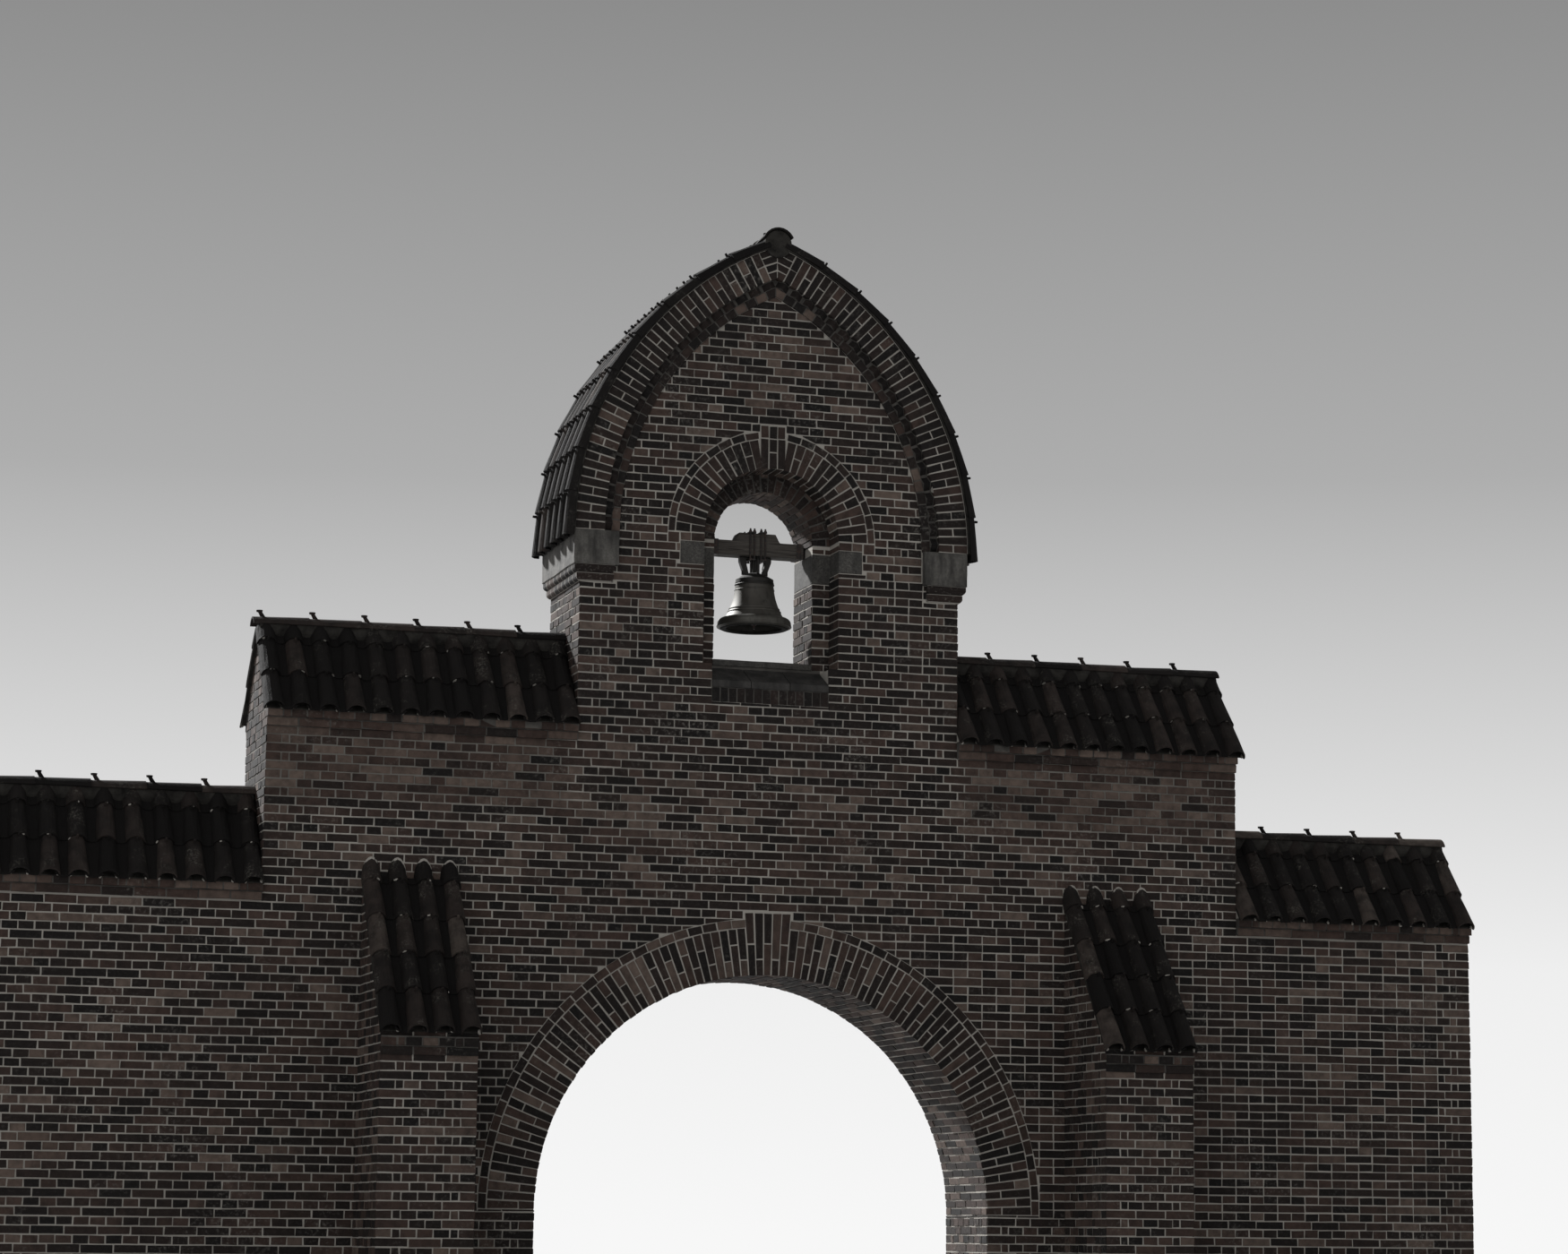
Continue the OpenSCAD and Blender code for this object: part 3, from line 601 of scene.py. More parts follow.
def slice_at(bm, point, normal, clear=True):
    """Cuts a whole shape and, if asked, takes off the part past the cut."""
    geom = [*bm.verts, *bm.edges, *bm.faces]
    bmesh.ops.bisect_plane(bm, geom=geom, plane_co=point, plane_no=normal, clear_outer=clear)


def bevelled(bm, offset, segments=2):
    bmesh.ops.bevel(
        bm, geom=bm.edges[:], offset=offset, segments=segments, profile=0.5, affect="EDGES", material=-1)


def prism(bm, points, way):
    """A solid from an outline that is drawn out along a way."""
    start = bm.faces.new([bm.verts.new(point) for point in points])
    grown = bmesh.ops.extrude_face_region(bm, geom=[start])["geom"]
    move(bm, [item for item in grown if isinstance(item, bmesh.types.BMVert)], way)


def roughen(bm, amount, seed_at):
    """Moves each vertex along its normal by a small chance amount."""
    chance = random.Random(str([round(value, 3) for value in seed_at]))
    bm.normal_update()
    for vert in bm.verts:
        vert.co += vert.normal * chance.uniform(-amount, amount)


# Shares of dark and of middling bricks in each part of the work
# The soot share gives only the darkest tones: between the dog teeth it is a painted shade, and it also makes
# the rowlock and the slips dark.
SHADES = {
    "wall": (0.5, 0.86), "gable": (0.64, 0.87), "ring": (0.74, 0.93), "shoulder": (0.1, 0.55),
    "soot": (1.3, 1.4)}
BOND = ("stretcher", "header", "shifted", "header")


class Drawing:
    """Bricks drawn flat, then given their depth, their wear and their place."""

    corner_slack = 0.0015
    least_area = 0.0007
    least_height = 0.02
    shifts = (0.0016, 0.0016, 0.0028)
    wear = 0.001

    def __init__(self, seed, shade="wall"):
        self.bm = new_bmesh()
        self.tones = self.bm.verts.layers.float["tone"]
        self.chance = random.Random(seed)
        self.shade = shade
        self.drift = self.chance.uniform(0, 50)
        self.sizes = bpy.context.scene.bell_gable_bricks

    def tone_at(self, point, shade):
        """Most bricks are dark, and shades gather in patches."""
        dark, middling = SHADES[shade or self.shade]
        patch = noise.noise(Vector((point[0] * 1.1, point[1] * 1.4, self.drift)))
        roll = self.chance.random() - 0.25 * patch
        tones = (0.03, 0.36) if roll < dark else (0.4, 0.66) if roll < middling else (0.68, 0.98)
        return self.chance.uniform(*tones)

    def outline(self, points, shade=None):
        def off(value):
            return value + self.chance.uniform(-self.corner_slack, self.corner_slack)

        verts = [self.bm.verts.new((off(x), off(y), 0)) for x, y in points]
        tone = self.tone_at(points[0], shade)
        for vert in verts:
            vert[self.tones] = tone
        return self.bm.faces.new(verts)

    def brick(self, x0, x1, y0, y1, shade=None):
        return self.outline([(x0, y0), (x1, y0), (x1, y1), (x0, y1)], shade)

    def wedge(self, centre, r0, r1, a0, a1):
        """A brick between two radii and two angles, with parallel joints."""
        half = self.sizes.joint / 2
        corners = ((r0, a0, half), (r1, a0, half), (r1, a1, -half), (r0, a1, -half))
        return self.outline([
            (centre[0] + r * math.cos(a + gap / r), centre[1] + r * math.sin(a + gap / r))
            for r, a, gap in corners])

    def arc(self, centre, last, count, parts):
        """Wedges round an arch from its springing, with the radii that parts gives for each."""
        for i in range(count):
            a0 = last * i / count
            a1 = last * (i + 1) / count
            for r0, r1 in parts(i, (a0 + a1) / 2):
                yield self.wedge(centre, r0, r1, a0, a1)

    def halved(self, inner, outer):
        """Parts of an arch that alternates between one brick and two headers."""
        split = (inner + outer) / 2
        half = self.sizes.joint / 2
        return lambda i, middle: [(inner, outer)] if i % 2 else [(inner, split - half), (split + half, outer)]

    def drop(self, face):
        bmesh.ops.delete(self.bm, geom=[face], context="FACES")

    def cut(self, face, point, normal):
        """Takes off the part of a brick past a line, and the brick if little is left."""
        done = bmesh.ops.bisect_plane(
            self.bm, geom=[face, *face.edges, *face.verts], plane_co=(*point, 0), plane_no=(*normal, 0),
            clear_outer=True)
        left = [item for item in done["geom"] if isinstance(item, bmesh.types.BMFace) and item.is_valid]
        if not left:
            return None
        if left[0].calc_area() < self.least_area:
            self.drop(left[0])
            return None
        return left[0]

    def cut_round(self, face, centre, radius, sign):
        """Cuts a brick at the tangent of a circle, outside it or inside it."""
        middle = face.calc_center_median()
        way = Vector((middle.x - centre[0], middle.y - centre[1])).normalized()
        return self.cut(face, (centre[0] + way.x * radius, centre[1] + way.y * radius), sign * way)

    @staticmethod
    def farthest(face, centre):
        xs = [v.co.x for v in face.verts]
        ys = [v.co.y for v in face.verts]
        return max(math.hypot(x - centre[0], y - centre[1]) for x in xs for y in ys)

    def keep_out(self, face, centre, radius):
        """Cuts a brick that runs into an arch ring."""
        if face is None:
            return None
        xs = [v.co.x for v in face.verts]
        ys = [v.co.y for v in face.verts]
        near = Vector((
            min(max(centre[0], min(xs)), max(xs)) - centre[0],
            min(max(centre[1], min(ys)), max(ys)) - centre[1]))
        if near.length >= radius:
            return face
        if self.farthest(face, centre) <= radius:
            self.drop(face)
            return None
        return self.cut_round(face, centre, radius, -1)

    def keep_in(self, face, centre, radius):
        """Cuts a brick that reaches past the arch that it lies under."""
        if face is None:
            return None
        far = max(math.hypot(v.co.x - centre[0], v.co.y - centre[1]) for v in face.verts)
        return face if far <= radius else self.cut_round(face, centre, radius, 1)

    def course(self, x0, x1, y0, y1, kind, zones=(), shade=None):
        """One course between two ends, laid in its bond, and trimmed at stones and keys."""
        joint = self.sizes.joint
        count = max(1, round((x1 - x0 + joint) / self.sizes.quarter))
        unit = (x1 - x0 + joint) / count
        faces = []
        x = x0
        for piece in course_pieces(count, kind):
            rect = (x, x + piece * unit - joint, y0, y1)
            x += piece * unit
            for zone in zones:
                rect = trimmed(rect, zone, joint)
            if rect:
                faces.append(self.brick(*rect, shade(rect) if shade else None))
        return faces

    def wall(self, x0, x1, y0, y1, zones=(), first=0, cut=None):
        """Courses of a plain rectangle, each trimmed as asked."""
        course = self.sizes.course
        half = self.sizes.joint / 2
        for k in range(round(y0 / course), math.ceil((y1 - 0.03) / course)):
            low = max(k * course + half, y0)
            high = min((k + 1) * course - half, y1)
            if high - low >= self.least_height:
                for face in self.course(x0, x1, low, high, BOND[(k + first) % 4], zones):
                    if cut:
                        cut(face)

    def row(self, x0, x1, low, kind, below=0.0):
        """One whole course over a level, a little deeper at its foot if asked."""
        return self.course(x0, x1, low - below, low + self.sizes.course - self.sizes.joint, kind)

    def solids(self, proud, sink):
        """Grows the bricks out of the wall, with a worn edge round each face."""
        bm = self.bm
        arris = self.sizes.arris
        bmesh.ops.delete(bm, geom=[v for v in bm.verts if not v.link_faces], context="VERTS")
        move(bm, bm.verts, (0, 0, -sink))
        bm.normal_update()
        grown = bmesh.ops.extrude_face_region(bm, geom=list(bm.faces))["geom"]
        tops = [item for item in grown if isinstance(item, bmesh.types.BMFace)]
        rim = list({vert for top in tops for vert in top.verts})
        move(bm, rim, (0, 0, sink + proud - arris))
        bm.normal_update()
        bmesh.ops.inset_individual(bm, faces=tops, thickness=arris, depth=arris)
        outward(bm)
        mesh = as_mesh(bm)
        self.weather(mesh, arris)
        return mesh

    def weather(self, mesh, arris):
        """Shifts each brick a little, by an amount that follows from its tone."""
        count = len(mesh.vertices)
        points = np.empty(count * 3, dtype=np.float32)
        tones = np.empty(count, dtype=np.float32)
        mesh.vertices.foreach_get("co", points)
        mesh.attributes["tone"].data.foreach_get("value", tones)
        points = points.reshape(-1, 3)
        for axis, amount in enumerate(self.shifts):
            hashed = np.sin(tones.astype(np.float64) * (7919.0 + 611.0 * axis)) * 43758.5453
            shift = (hashed - np.floor(hashed) - 0.5) * 2 * amount
            fronts = points[:, 2] > 0 if axis == 2 else slice(None)
            points[fronts, axis] += shift[fronts]
        wear = np.random.default_rng(len(points)).normal(0, self.wear, points.shape)
        points += np.clip(wear, -arris * 0.8, arris * 0.8)
        mesh.vertices.foreach_set("co", points.ravel())
        mesh.update()

    def lay(self, target, matrices, proud=None, sink=0.012, bend=None):
        """Adds the finished bricks to a piece, once for each place."""
        mesh = self.solids(self.sizes.proud if proud is None else proud, sink)
        if bend:
            points = np.empty(len(mesh.vertices) * 3)
            mesh.vertices.foreach_get("co", points)
            mesh.vertices.foreach_set("co", bend(points.reshape(-1, 3)).ravel())
        for matrix in matrices:
            add_copy(target, mesh, matrix)
        bpy.data.meshes.remove(mesh)


def course_pieces(count, kind):
    """The bricks of one course in quarters of a stretcher, with a quoin at each end."""
    if count < 6:
        short = {1: [1], 2: [2], 3: [3], 4: [4], 5: [4, 1]}
        if kind == "header":
            short.update({3: [2, 1], 4: [2, 2], 5: [2, 1, 2]})
        return short[count]
    if kind == "header":
        middle = [2] * ((count - 6) // 2)
        if count % 2:
            middle.insert(len(middle) // 2, 1)
        return [2, 1, *middle, 1, 2]
    lead = [4] if kind == "stretcher" else [4, 2]
    rest = count - sum(lead)
    run = [4] * (rest // 4)
    if rest % 4:
        run.insert(max(len(run) - 1, 0), rest % 4)
    return lead + run


def trimmed(rect, zone, joint):
    """What is left of a brick beside a stone or key: the larger of the four sides."""
    if rect is None:
        return None
    x0, x1, y0, y1 = rect
    left, right, low, high = zone
    if x1 <= left or x0 >= right or y1 <= low or y0 >= high:
        return rect
    gap = joint * 0.6
    sides = [
        (x0, min(x1, left - gap), y0, y1), (max(x0, right + gap), x1, y0, y1),
        (x0, x1, y0, min(y1, low - gap)), (x0, x1, max(y0, high + gap), y1)]
    best = max(sides, key=lambda side: max(side[1] - side[0], 0) * max(side[3] - side[2], 0))
    return None if best[1] - best[0] < 0.016 or best[3] - best[2] < Drawing.least_height else best


def around_arch(radius, spring):
    """Bends a flat drawing round the inside of an arch: its x runs along the curve."""
    def bend(points):
        angle = points[:, 0] / radius
        reach_in = radius - points[:, 2]
        return np.stack([
            reach_in * np.cos(angle), points[:, 1], spring + reach_in * np.sin(angle)], axis=1)
    return bend


def soffit(drawing, radius, start, deep, patterns, count):
    """The underside of an arch, laid flat, with two patterns of bricks in turn."""
    joint = drawing.sizes.joint
    unit = deep / sum(patterns[0])
    for i in range(count):
        x0 = math.pi * radius * i / count + joint / 2
        x1 = math.pi * radius * (i + 1) / count - joint / 2
        y = start
        for piece in patterns[i % 2]:
            drawing.brick(x0, x1, y + joint / 2, y + piece * unit - joint / 2)
            y += piece * unit


def sheet(bm, seed, places, *area, **how):
    """One plain rectangle of courses, laid at each place."""
    drawing = Drawing(seed)
    drawing.wall(*area, **how)
    drawing.lay(bm, places)


def slips(bm, seed, x0, x1, top, matrices):
    """Thin bricks under a level that no whole course reaches."""
    drawing = Drawing(seed, "soot")
    bricks = drawing.sizes
    low = math.floor(top / bricks.course) * bricks.course + bricks.joint / 2
    drawing.course(x0, x1, low, top - bricks.joint * 0.3, BOND[0])
    drawing.lay(bm, matrices)


def spans(z, bricks):
    """The stretches of one face that are plain brickwork at a height."""
    outer = FLANK_X if z < FLANK_Z else GATE_X if z < GATE_WALL_Z else GABLE_X
    if KNEELER_Z < z < VERGE_SPRING:
        outer = KNEELER_X - bricks.kneeler - bricks.joint
    if z < GATE_SPRING:
        inner = GATE_R
    elif BREAST_Z < z < ORDER_FOOT_Z:
        inner = SILL_X
    elif ORDER_FOOT_Z < z < WINDOW_SPRING:
        inner = bricks.window_half
    else:
        return [(-outer, outer)]
    return [(-outer, -inner), (inner, outer)]


def stone_zones(bricks):
    """Rectangles of a face that belong to stones, keys and buttresses."""
    kneeler = KNEELER_X - bricks.kneeler
    zones = []
    for side in (-1, 1):
        for inner, outer, low, high in (
                (bricks.window_half - 0.02, IMPOST_X, IMPOST_Z, IMPOST_TOP),
                (kneeler, KNEELER_X, KNEELER_Z, VERGE_SPRING),
                (kneeler + 0.07, KNEELER_X, MOULDING_Z, KNEELER_Z),
                (bricks.window_half, WINDOW_RING_R, IMPOST_TOP, WINDOW_SPRING - 0.02),
                (BUTTRESS_X - bricks.buttress + 0.02, BUTTRESS_X - 0.02, -0.1, BUTTRESS_TOP - 0.02)):
            zones.append((*sorted((side * inner, side * outer)), low, high))
    zones.append((-SILL_X, SILL_X, BREAST_Z, ORDER_FOOT_Z))
    zones.append((-bricks.key_half, bricks.key_half, WINDOW_SPRING, WINDOW_KEY_Z))
    zones.append((-bricks.gate_key_half, bricks.gate_key_half, GATE_SPRING, GATE_KEY_Z))
    return zones


def shade_at(rect):
    """The shoulders and one patch of the gable are of lighter bricks than the rest."""
    across = (rect[0] + rect[1]) / 2
    on_shoulder = rect[2] > GATE_WALL_Z - 0.55 and abs(across) > GABLE_X
    in_patch = 0.6045 < (rect[2] - VERGE_SPRING) / VERGE_RISE < 0.6955 and -0.2 < across < 0.45
    if on_shoulder or in_patch:
        return "shoulder"
    return "gable" if rect[2] > GATE_WALL_Z - 0.2 else "wall"


# Bricks

class BELLGABLE_OT_faces(bpy.types.Operator):
    """Lay the front and back faces of the walls and the gable"""
    bl_idname = "bell_gable.faces"
    bl_label = "Wall faces"
    bl_options = {"REGISTER", "UNDO"}

    @staticmethod
    def rows(drawing, first, last):
        bricks = drawing.sizes
        half = bricks.joint / 2
        zones = stone_zones(bricks)
        band_r = VERGE_R - bricks.verge_brick - bricks.tooth - bricks.plain
        for k in range(first, last):
            low = k * bricks.course + half
            high = low + bricks.course - bricks.joint
            middle = (low + high) / 2
            for x0, x1 in spans(middle, bricks):
                for face in drawing.course(x0, x1, low, high, BOND[k % 4], zones, shade_at):
                    if GATE_SPRING < middle < GATE_KEY_Z:
                        face = drawing.keep_out(face, (0, GATE_SPRING), GATE_RING_R + half)
                    if WINDOW_SPRING - 0.03 < middle < WINDOW_KEY_Z:
                        face = drawing.keep_out(face, (0, WINDOW_SPRING), WINDOW_RING_R + half)
                    if middle > VERGE_SPRING:
                        for side in (-1, 1):
                            face = drawing.keep_in(face, (side * VERGE_CX, VERGE_SPRING), band_r - half)

    def execute(self, context):
        course = context.scene.bell_gable_bricks.course
        upper_z = 2.7
        rows = [0, round(upper_z / course), round(GATE_WALL_Z / course), math.ceil(VERGE_APEX / course)]
        for name, first, last in zip(("lower", "upper", "gable"), rows, rows[1:]):
            for matrix, side in zip(FACES, ("front", "back")):
                drawing = Drawing(f"{name} {side}")
                self.rows(drawing, first, last)
                bm = new_bmesh()
                drawing.lay(bm, [matrix @ FRONT])
                make_piece(f"{side}_{name}_bricks", bm, "brick")
        return {"FINISHED"}


class BELLGABLE_OT_ends(bpy.types.Operator):
    """Lay the end faces of the walls, the sides of the gable and the roof ends"""
    bl_idname = "bell_gable.ends"
    bl_label = "Wall ends"
    bl_options = {"REGISTER", "UNDO"}

    @staticmethod
    def roof_end(drawing, bed, top):
        """Two corbelled courses and the little gable over them."""
        bricks = drawing.sizes
        slope = Vector((top - bed, EAVES_Y)).normalized()
        for step in (0, 1):
            out = WALL_Y + (step + 1) * bricks.corbel
            drawing.row(-out, out, bed - (2 - step) * bricks.course, BOND[step], 0.002)
        for k in range(int((top - bed) / bricks.course)):
            low = bed + k * bricks.course + bricks.joint / 2
            half = EAVES_Y * (top - low) / (top - bed)
            for face in drawing.row(-half, half, low, BOND[(k + 2) % 4]):
                for side in (-1, 1):
                    if face:
                        face = drawing.cut(face, (side * (EAVES_Y - 0.012), bed), (side * slope.x, slope.y))

    def execute(self, context):
        bm = new_bmesh()
        for x, low, high, seed in (
                (FLANK_X, 0, FLANK_Z, "flank end"), (GATE_X, FLANK_Z + 0.05, GATE_WALL_Z, "gate end"),
                (GABLE_X, GATE_WALL_Z, MOULDING_Z, "gable side")):
            sheet(bm, seed, at(facing_end(x), FACES), -WALL_Y, WALL_Y, low, high, first=1)
        for name, x, bed, top in (
                ("wing", GATE_X, WING_BED_Z, WING_TOP_Z), ("flank", FLANK_X, FLANK_BED_Z, FLANK_TOP_Z)):
            drawing = Drawing(f"{name} roof end")
            self.roof_end(drawing, bed, top)
            drawing.lay(bm, at(facing_end(x), FACES))
        make_piece("end_bricks", bm, "brick")
        return {"FINISHED"}


class BELLGABLE_OT_eaves(bpy.types.Operator):
    """Lay the corbelled courses under the tiles of the shoulders and flanks"""
    bl_idname = "bell_gable.eaves"
    bl_label = "Eaves courses"
    bl_options = {"REGISTER", "UNDO"}

    def execute(self, context):
        bricks = context.scene.bell_gable_bricks
        bm = new_bmesh()
        for x0, x1, bed in ((GABLE_X, GATE_X, WING_BED_Z), (GATE_X, FLANK_X, FLANK_BED_Z)):
            for step in (0, 1):
                drawing = Drawing(f"eaves {step} {bed}", "shoulder")
                low = bed - (2 - step) * bricks.course
                drawing.row(x0 + 0.003, x1 + bricks.proud - 0.002, low, BOND[step], 0.003)
                out = WALL_Y + (step + 1) * bricks.corbel
                drawing.lay(bm, at(facing_front(out)), proud=0.003, sink=0.034)
        make_piece("eaves_bricks", bm, "brick")
        return {"FINISHED"}


class BELLGABLE_OT_buttresses(bpy.types.Operator):
    """Lay the faces of the buttresses and the courses under their tiles"""
    bl_idname = "bell_gable.buttresses"
    bl_label = "Buttresses"
    bl_options = {"REGISTER", "UNDO"}

    @staticmethod
    def side(seed, x0, x1, rising):
        """One side face, cut along the slope of the tiles."""
        drawing = Drawing(seed)
        face_z = BUTTRESS_STEP_Z + 2 * drawing.sizes.course
        rise = (BUTTRESS_TOP - face_z) / (BUTTRESS_Y - WALL_Y)
        normal = Vector((-rise * rising, 1)).normalized()
        start = (x0 if rising > 0 else x1, face_z + 0.02)
        drawing.wall(x0, x1, 0, BUTTRESS_TOP, cut=lambda brick: drawing.cut(brick, start, normal))
        return drawing

    def execute(self, context):
        bricks = context.scene.bell_gable_bricks
        x0 = BUTTRESS_X - bricks.buttress
        out = bricks.proud - 0.002
        ends = (x0 - out, BUTTRESS_X + out)
        bm = new_bmesh()
        front = at(facing_front(BUTTRESS_Y))
        sheet(bm, "buttress front", front, *ends, 0, BUTTRESS_STEP_Z, first=1)
        right = self.side("buttress right", -BUTTRESS_Y, -WALL_Y, 1)
        right.lay(bm, at(facing_end(BUTTRESS_X)))
        left = self.side("buttress left", WALL_Y, BUTTRESS_Y, -1)
        left.lay(bm, at(facing_end(x0, -INTO)))
        for step in (0, 1):
            drawing = Drawing(f"buttress course {step}")
            drawing.row(*ends, BUTTRESS_STEP_Z + step * bricks.course, BOND[step], 0.002)
            face = facing_front(BUTTRESS_Y + (step + 1) * bricks.buttress_step)
            drawing.lay(bm, at(face), proud=0.003, sink=0.022)
        drawing = Drawing("buttress bed", "ring")
        low = BUTTRESS_STEP_Z + 2 * bricks.course
        drawing.course(*ends, low, low + 0.044, BOND[0])
        drawing.lay(bm, front)
        make_piece("buttress_bricks", bm, "brick")
        return {"FINISHED"}


class BELLGABLE_OT_gateway(bpy.types.Operator):
    """Lay the gate arch with its label, and line the passage"""
    bl_idname = "bell_gable.gateway"
    bl_label = "Gateway"
    bl_options = {"REGISTER", "UNDO"}

    @staticmethod
    def ring(drawing):
        """The arch, whose middle bricks run up into the key, and the label over it."""
        bricks = drawing.sizes
        centre = (0, GATE_SPRING)
        half = bricks.joint / 2
        inner = GATE_R - 0.001
        outer = GATE_R + bricks.gate_brick
        key_top = GATE_KEY_Z - GATE_SPRING
        count = round(math.pi * (GATE_R + bricks.gate_brick / 2) / bricks.course) // 2 * 2 + 1

        def parts(i, middle):
            split = inner + (0.24 if i % 2 else 0.12)
            keyed = abs(math.cos(middle)) * outer < bricks.gate_key_half - 0.03
            return [(inner, split - half), (split + half, key_top + 0.05 if keyed else outer)]

        for face in drawing.arc(centre, math.pi, count, parts):
            drawing.cut(face, (0, GATE_KEY_Z - half), (0, 1))

        def label(i, middle):
            beside = abs(math.cos(middle)) * GATE_RING_R > bricks.gate_key_half + 0.03
            return [(outer + bricks.joint, GATE_RING_R)] if beside else []

        list(drawing.arc(centre, math.pi, round(math.pi * GATE_RING_R / 0.12), label))
        return count

    def execute(self, context):
        arch = new_bmesh()
        for place, side in zip(FACES, ("front", "back")):
            drawing = Drawing(f"gate ring {side}")
            count = self.ring(drawing)
            drawing.lay(arch, [place @ FRONT])
        make_piece("gate_arch_bricks", arch, "brick")
        passage = new_bmesh()
        drawing = Drawing("gate soffit")
        soffit(drawing, GATE_R, -WALL_Y, 2 * WALL_Y, ([2, 4, 4, 4, 2], [4] * 4), count)
        drawing.lay(passage, [IDENTITY], bend=around_arch(GATE_R, GATE_SPRING))
        jambs = at(facing_end(GATE_R, -INTO), FACES)
        sheet(passage, "gate jamb", jambs, -WALL_Y, WALL_Y, 0, GATE_SPRING, first=1)
        slips(passage, "slips of the jamb", -WALL_Y, WALL_Y, GATE_SPRING, jambs)
        slips(passage, "slips of the face", GATE_R, GATE_RING_R, GATE_SPRING, at(FRONT))
        make_piece("passage_bricks", passage, "brick")
        return {"FINISHED"}


class BELLGABLE_OT_window(bpy.types.Operator):
    """Lay the two orders of the bell window, its arches and its rowlock course"""
    bl_idname = "bell_gable.window"
    bl_label = "Bell window"
    bl_options = {"REGISTER", "UNDO"}

    @staticmethod
    def ring(drawing, inner, outer, keyed):
        """One order of the arch, with room for the key if it has one."""
        count = round(math.pi * (inner + outer) / 2 / (drawing.sizes.course * 1.01)) // 2 * 2 + 1
        halved = drawing.halved(inner, outer)

        def parts(i, middle):
            return [] if keyed and abs(i - count // 2) < 2 else halved(i, middle)

        list(drawing.arc((0, WINDOW_SPRING), math.pi, count, parts))
        return count

    @staticmethod
    def label(drawing, inner):
        """Headers round the ring, cut at the key."""
        key = drawing.sizes.key_half
        count = round(math.pi * WINDOW_RING_R / 0.118) // 2 * 2
        whole = [(inner, WINDOW_RING_R - 0.002)]
        for face in drawing.arc((0, WINDOW_SPRING), math.pi, count, lambda i, middle: whole):
            x = face.calc_center_median().x
            side = math.copysign(1, x)
            if abs(x) < key:
                drawing.drop(face)
            else:
                drawing.cut(face, (side * (key + 0.006), 0), (-side, 0))

    @staticmethod
    def key(drawing):
        """Three upright columns of bricks over the top of the arch."""
        bricks = drawing.sizes
        wide = 2 * bricks.key_half / 3
        inner = WINDOW_SPRING + bricks.window_half
        half = bricks.joint / 2
        for column, splits in ((-1, (0.24,)), (0, (0.13, 0.24)), (1, (0.24,))):
            levels = [0, *splits, WINDOW_KEY_Z - inner]
            for low, high in zip(levels, levels[1:]):
                face = drawing.brick(
                    (column - 0.5) * wide + half, (column + 0.5) * wide - half,
                    inner + low + (half if low else 0), inner + high - half)
                if column and not low:
                    corner = sorted(face.verts, key=lambda v: (v.co.y, -abs(v.co.x)))[0]
                    corner.co.y -= bricks.window_half - math.sqrt(bricks.window_half ** 2 - corner.co.x ** 2)

    def arches(self, bm, bricks):
        """Both orders on both faces. Says how many bricks each order has."""
        half = bricks.window_half
        outer = half + bricks.window_brick
        for place, side in zip(FACES, ("front", "back")):
            drawing = Drawing(f"window ring {side}", "ring")
            outer_count = self.ring(drawing, half - 0.001, outer - 0.004, True)
            self.label(drawing, outer + bricks.joint * 0.6)
            self.key(drawing)
            drawing.lay(bm, [place @ FRONT])
            drawing = Drawing(f"inner ring {side}", "ring")
            inner_count = self.ring(drawing, INNER_R - 0.001, INNER_RING_R, False)
            drawing.lay(bm, [place @ facing_front(ORDER_Y)])
        return outer_count, inner_count

    @staticmethod
    def soffits(bm, half, outer_count, inner_count):
        drawing = Drawing("outer soffit")
        soffit(drawing, half, 0.0, WALL_Y - ORDER_Y, ([4], [2, 2]), outer_count)
        shift = Matrix.Translation((0, ORDER_Y, 0))
        drawing.lay(bm, at(shift, FACES), bend=around_arch(half, WINDOW_SPRING))
        drawing = Drawing("inner soffit", "shoulder")
        soffit(drawing, INNER_R, 0.0, 2 * ORDER_Y, ([4, 4], [2, 4, 2]), inner_count)
        drawing.lay(bm, [shift.inverted()], bend=around_arch(INNER_R, WINDOW_SPRING))

    @staticmethod
    def jambs(bm, half):
        """Three sheets that leave room for the impost stones."""
        for seed, places, x0, x1, low, high, stone_z, first in (
                ("outer jamb", at(facing_end(-half)),
                 -WALL_Y, -ORDER_Y, ORDER_FOOT_Z, WINDOW_SPRING, IMPOST_Z, 1),
                ("order face", at(facing_front(ORDER_Y)),
                 INNER_R, half, ORDER_FOOT_Z + 0.02, WINDOW_SPRING, INNER_IMPOST_Z, 0),
                ("inner jamb", at(facing_end(INNER_R, -INTO), FACES),
                 -ORDER_Y, ORDER_Y, SLAB_TOP_Z, IMPOST_TOP, INNER_IMPOST_Z, 1)):
            stone = (x0, x1, stone_z, IMPOST_TOP)
            sheet(bm, seed, places, x0, x1, low, high, [stone], first=first)

    @staticmethod
    def over_imposts(bm, bricks):
        """The bricks between the impost stones and the foot of the ring."""
        drawing = Drawing("over the imposts", "gable")
        half_joint = bricks.joint / 2
        low = IMPOST_TOP + half_joint
        course_z = round(IMPOST_TOP / bricks.course) * bricks.course + half_joint
        for x0, x1, y0 in (
                (bricks.window_half, IMPOST_X - 0.09, low), (IMPOST_X - 0.08, IMPOST_X, low),
                (IMPOST_X + bricks.joint, WINDOW_RING_R, course_z)):
            drawing.brick(x0, x1, y0, WINDOW_SPRING - half_joint)
        drawing.lay(bm, at(FRONT))

    @staticmethod
    def rowlock(bm, bricks):
        """Bricks on edge under the sill, and the slips under them."""
        drawing = Drawing("rowlock", "soot")
        count = round(2 * SILL_X / 0.068)
        wide = 2 * SILL_X / count
        for i in range(count):
            x0 = -SILL_X + i * wide + bricks.joint / 2
            drawing.brick(x0, x0 + wide - bricks.joint, BREAST_Z, SILL_NOSE_Z - bricks.joint / 2)
        drawing.lay(bm, at(FRONT, FACES))
        slips(bm, "slips under the rowlock", -SILL_X, SILL_X, BREAST_Z, at(FRONT, FACES))

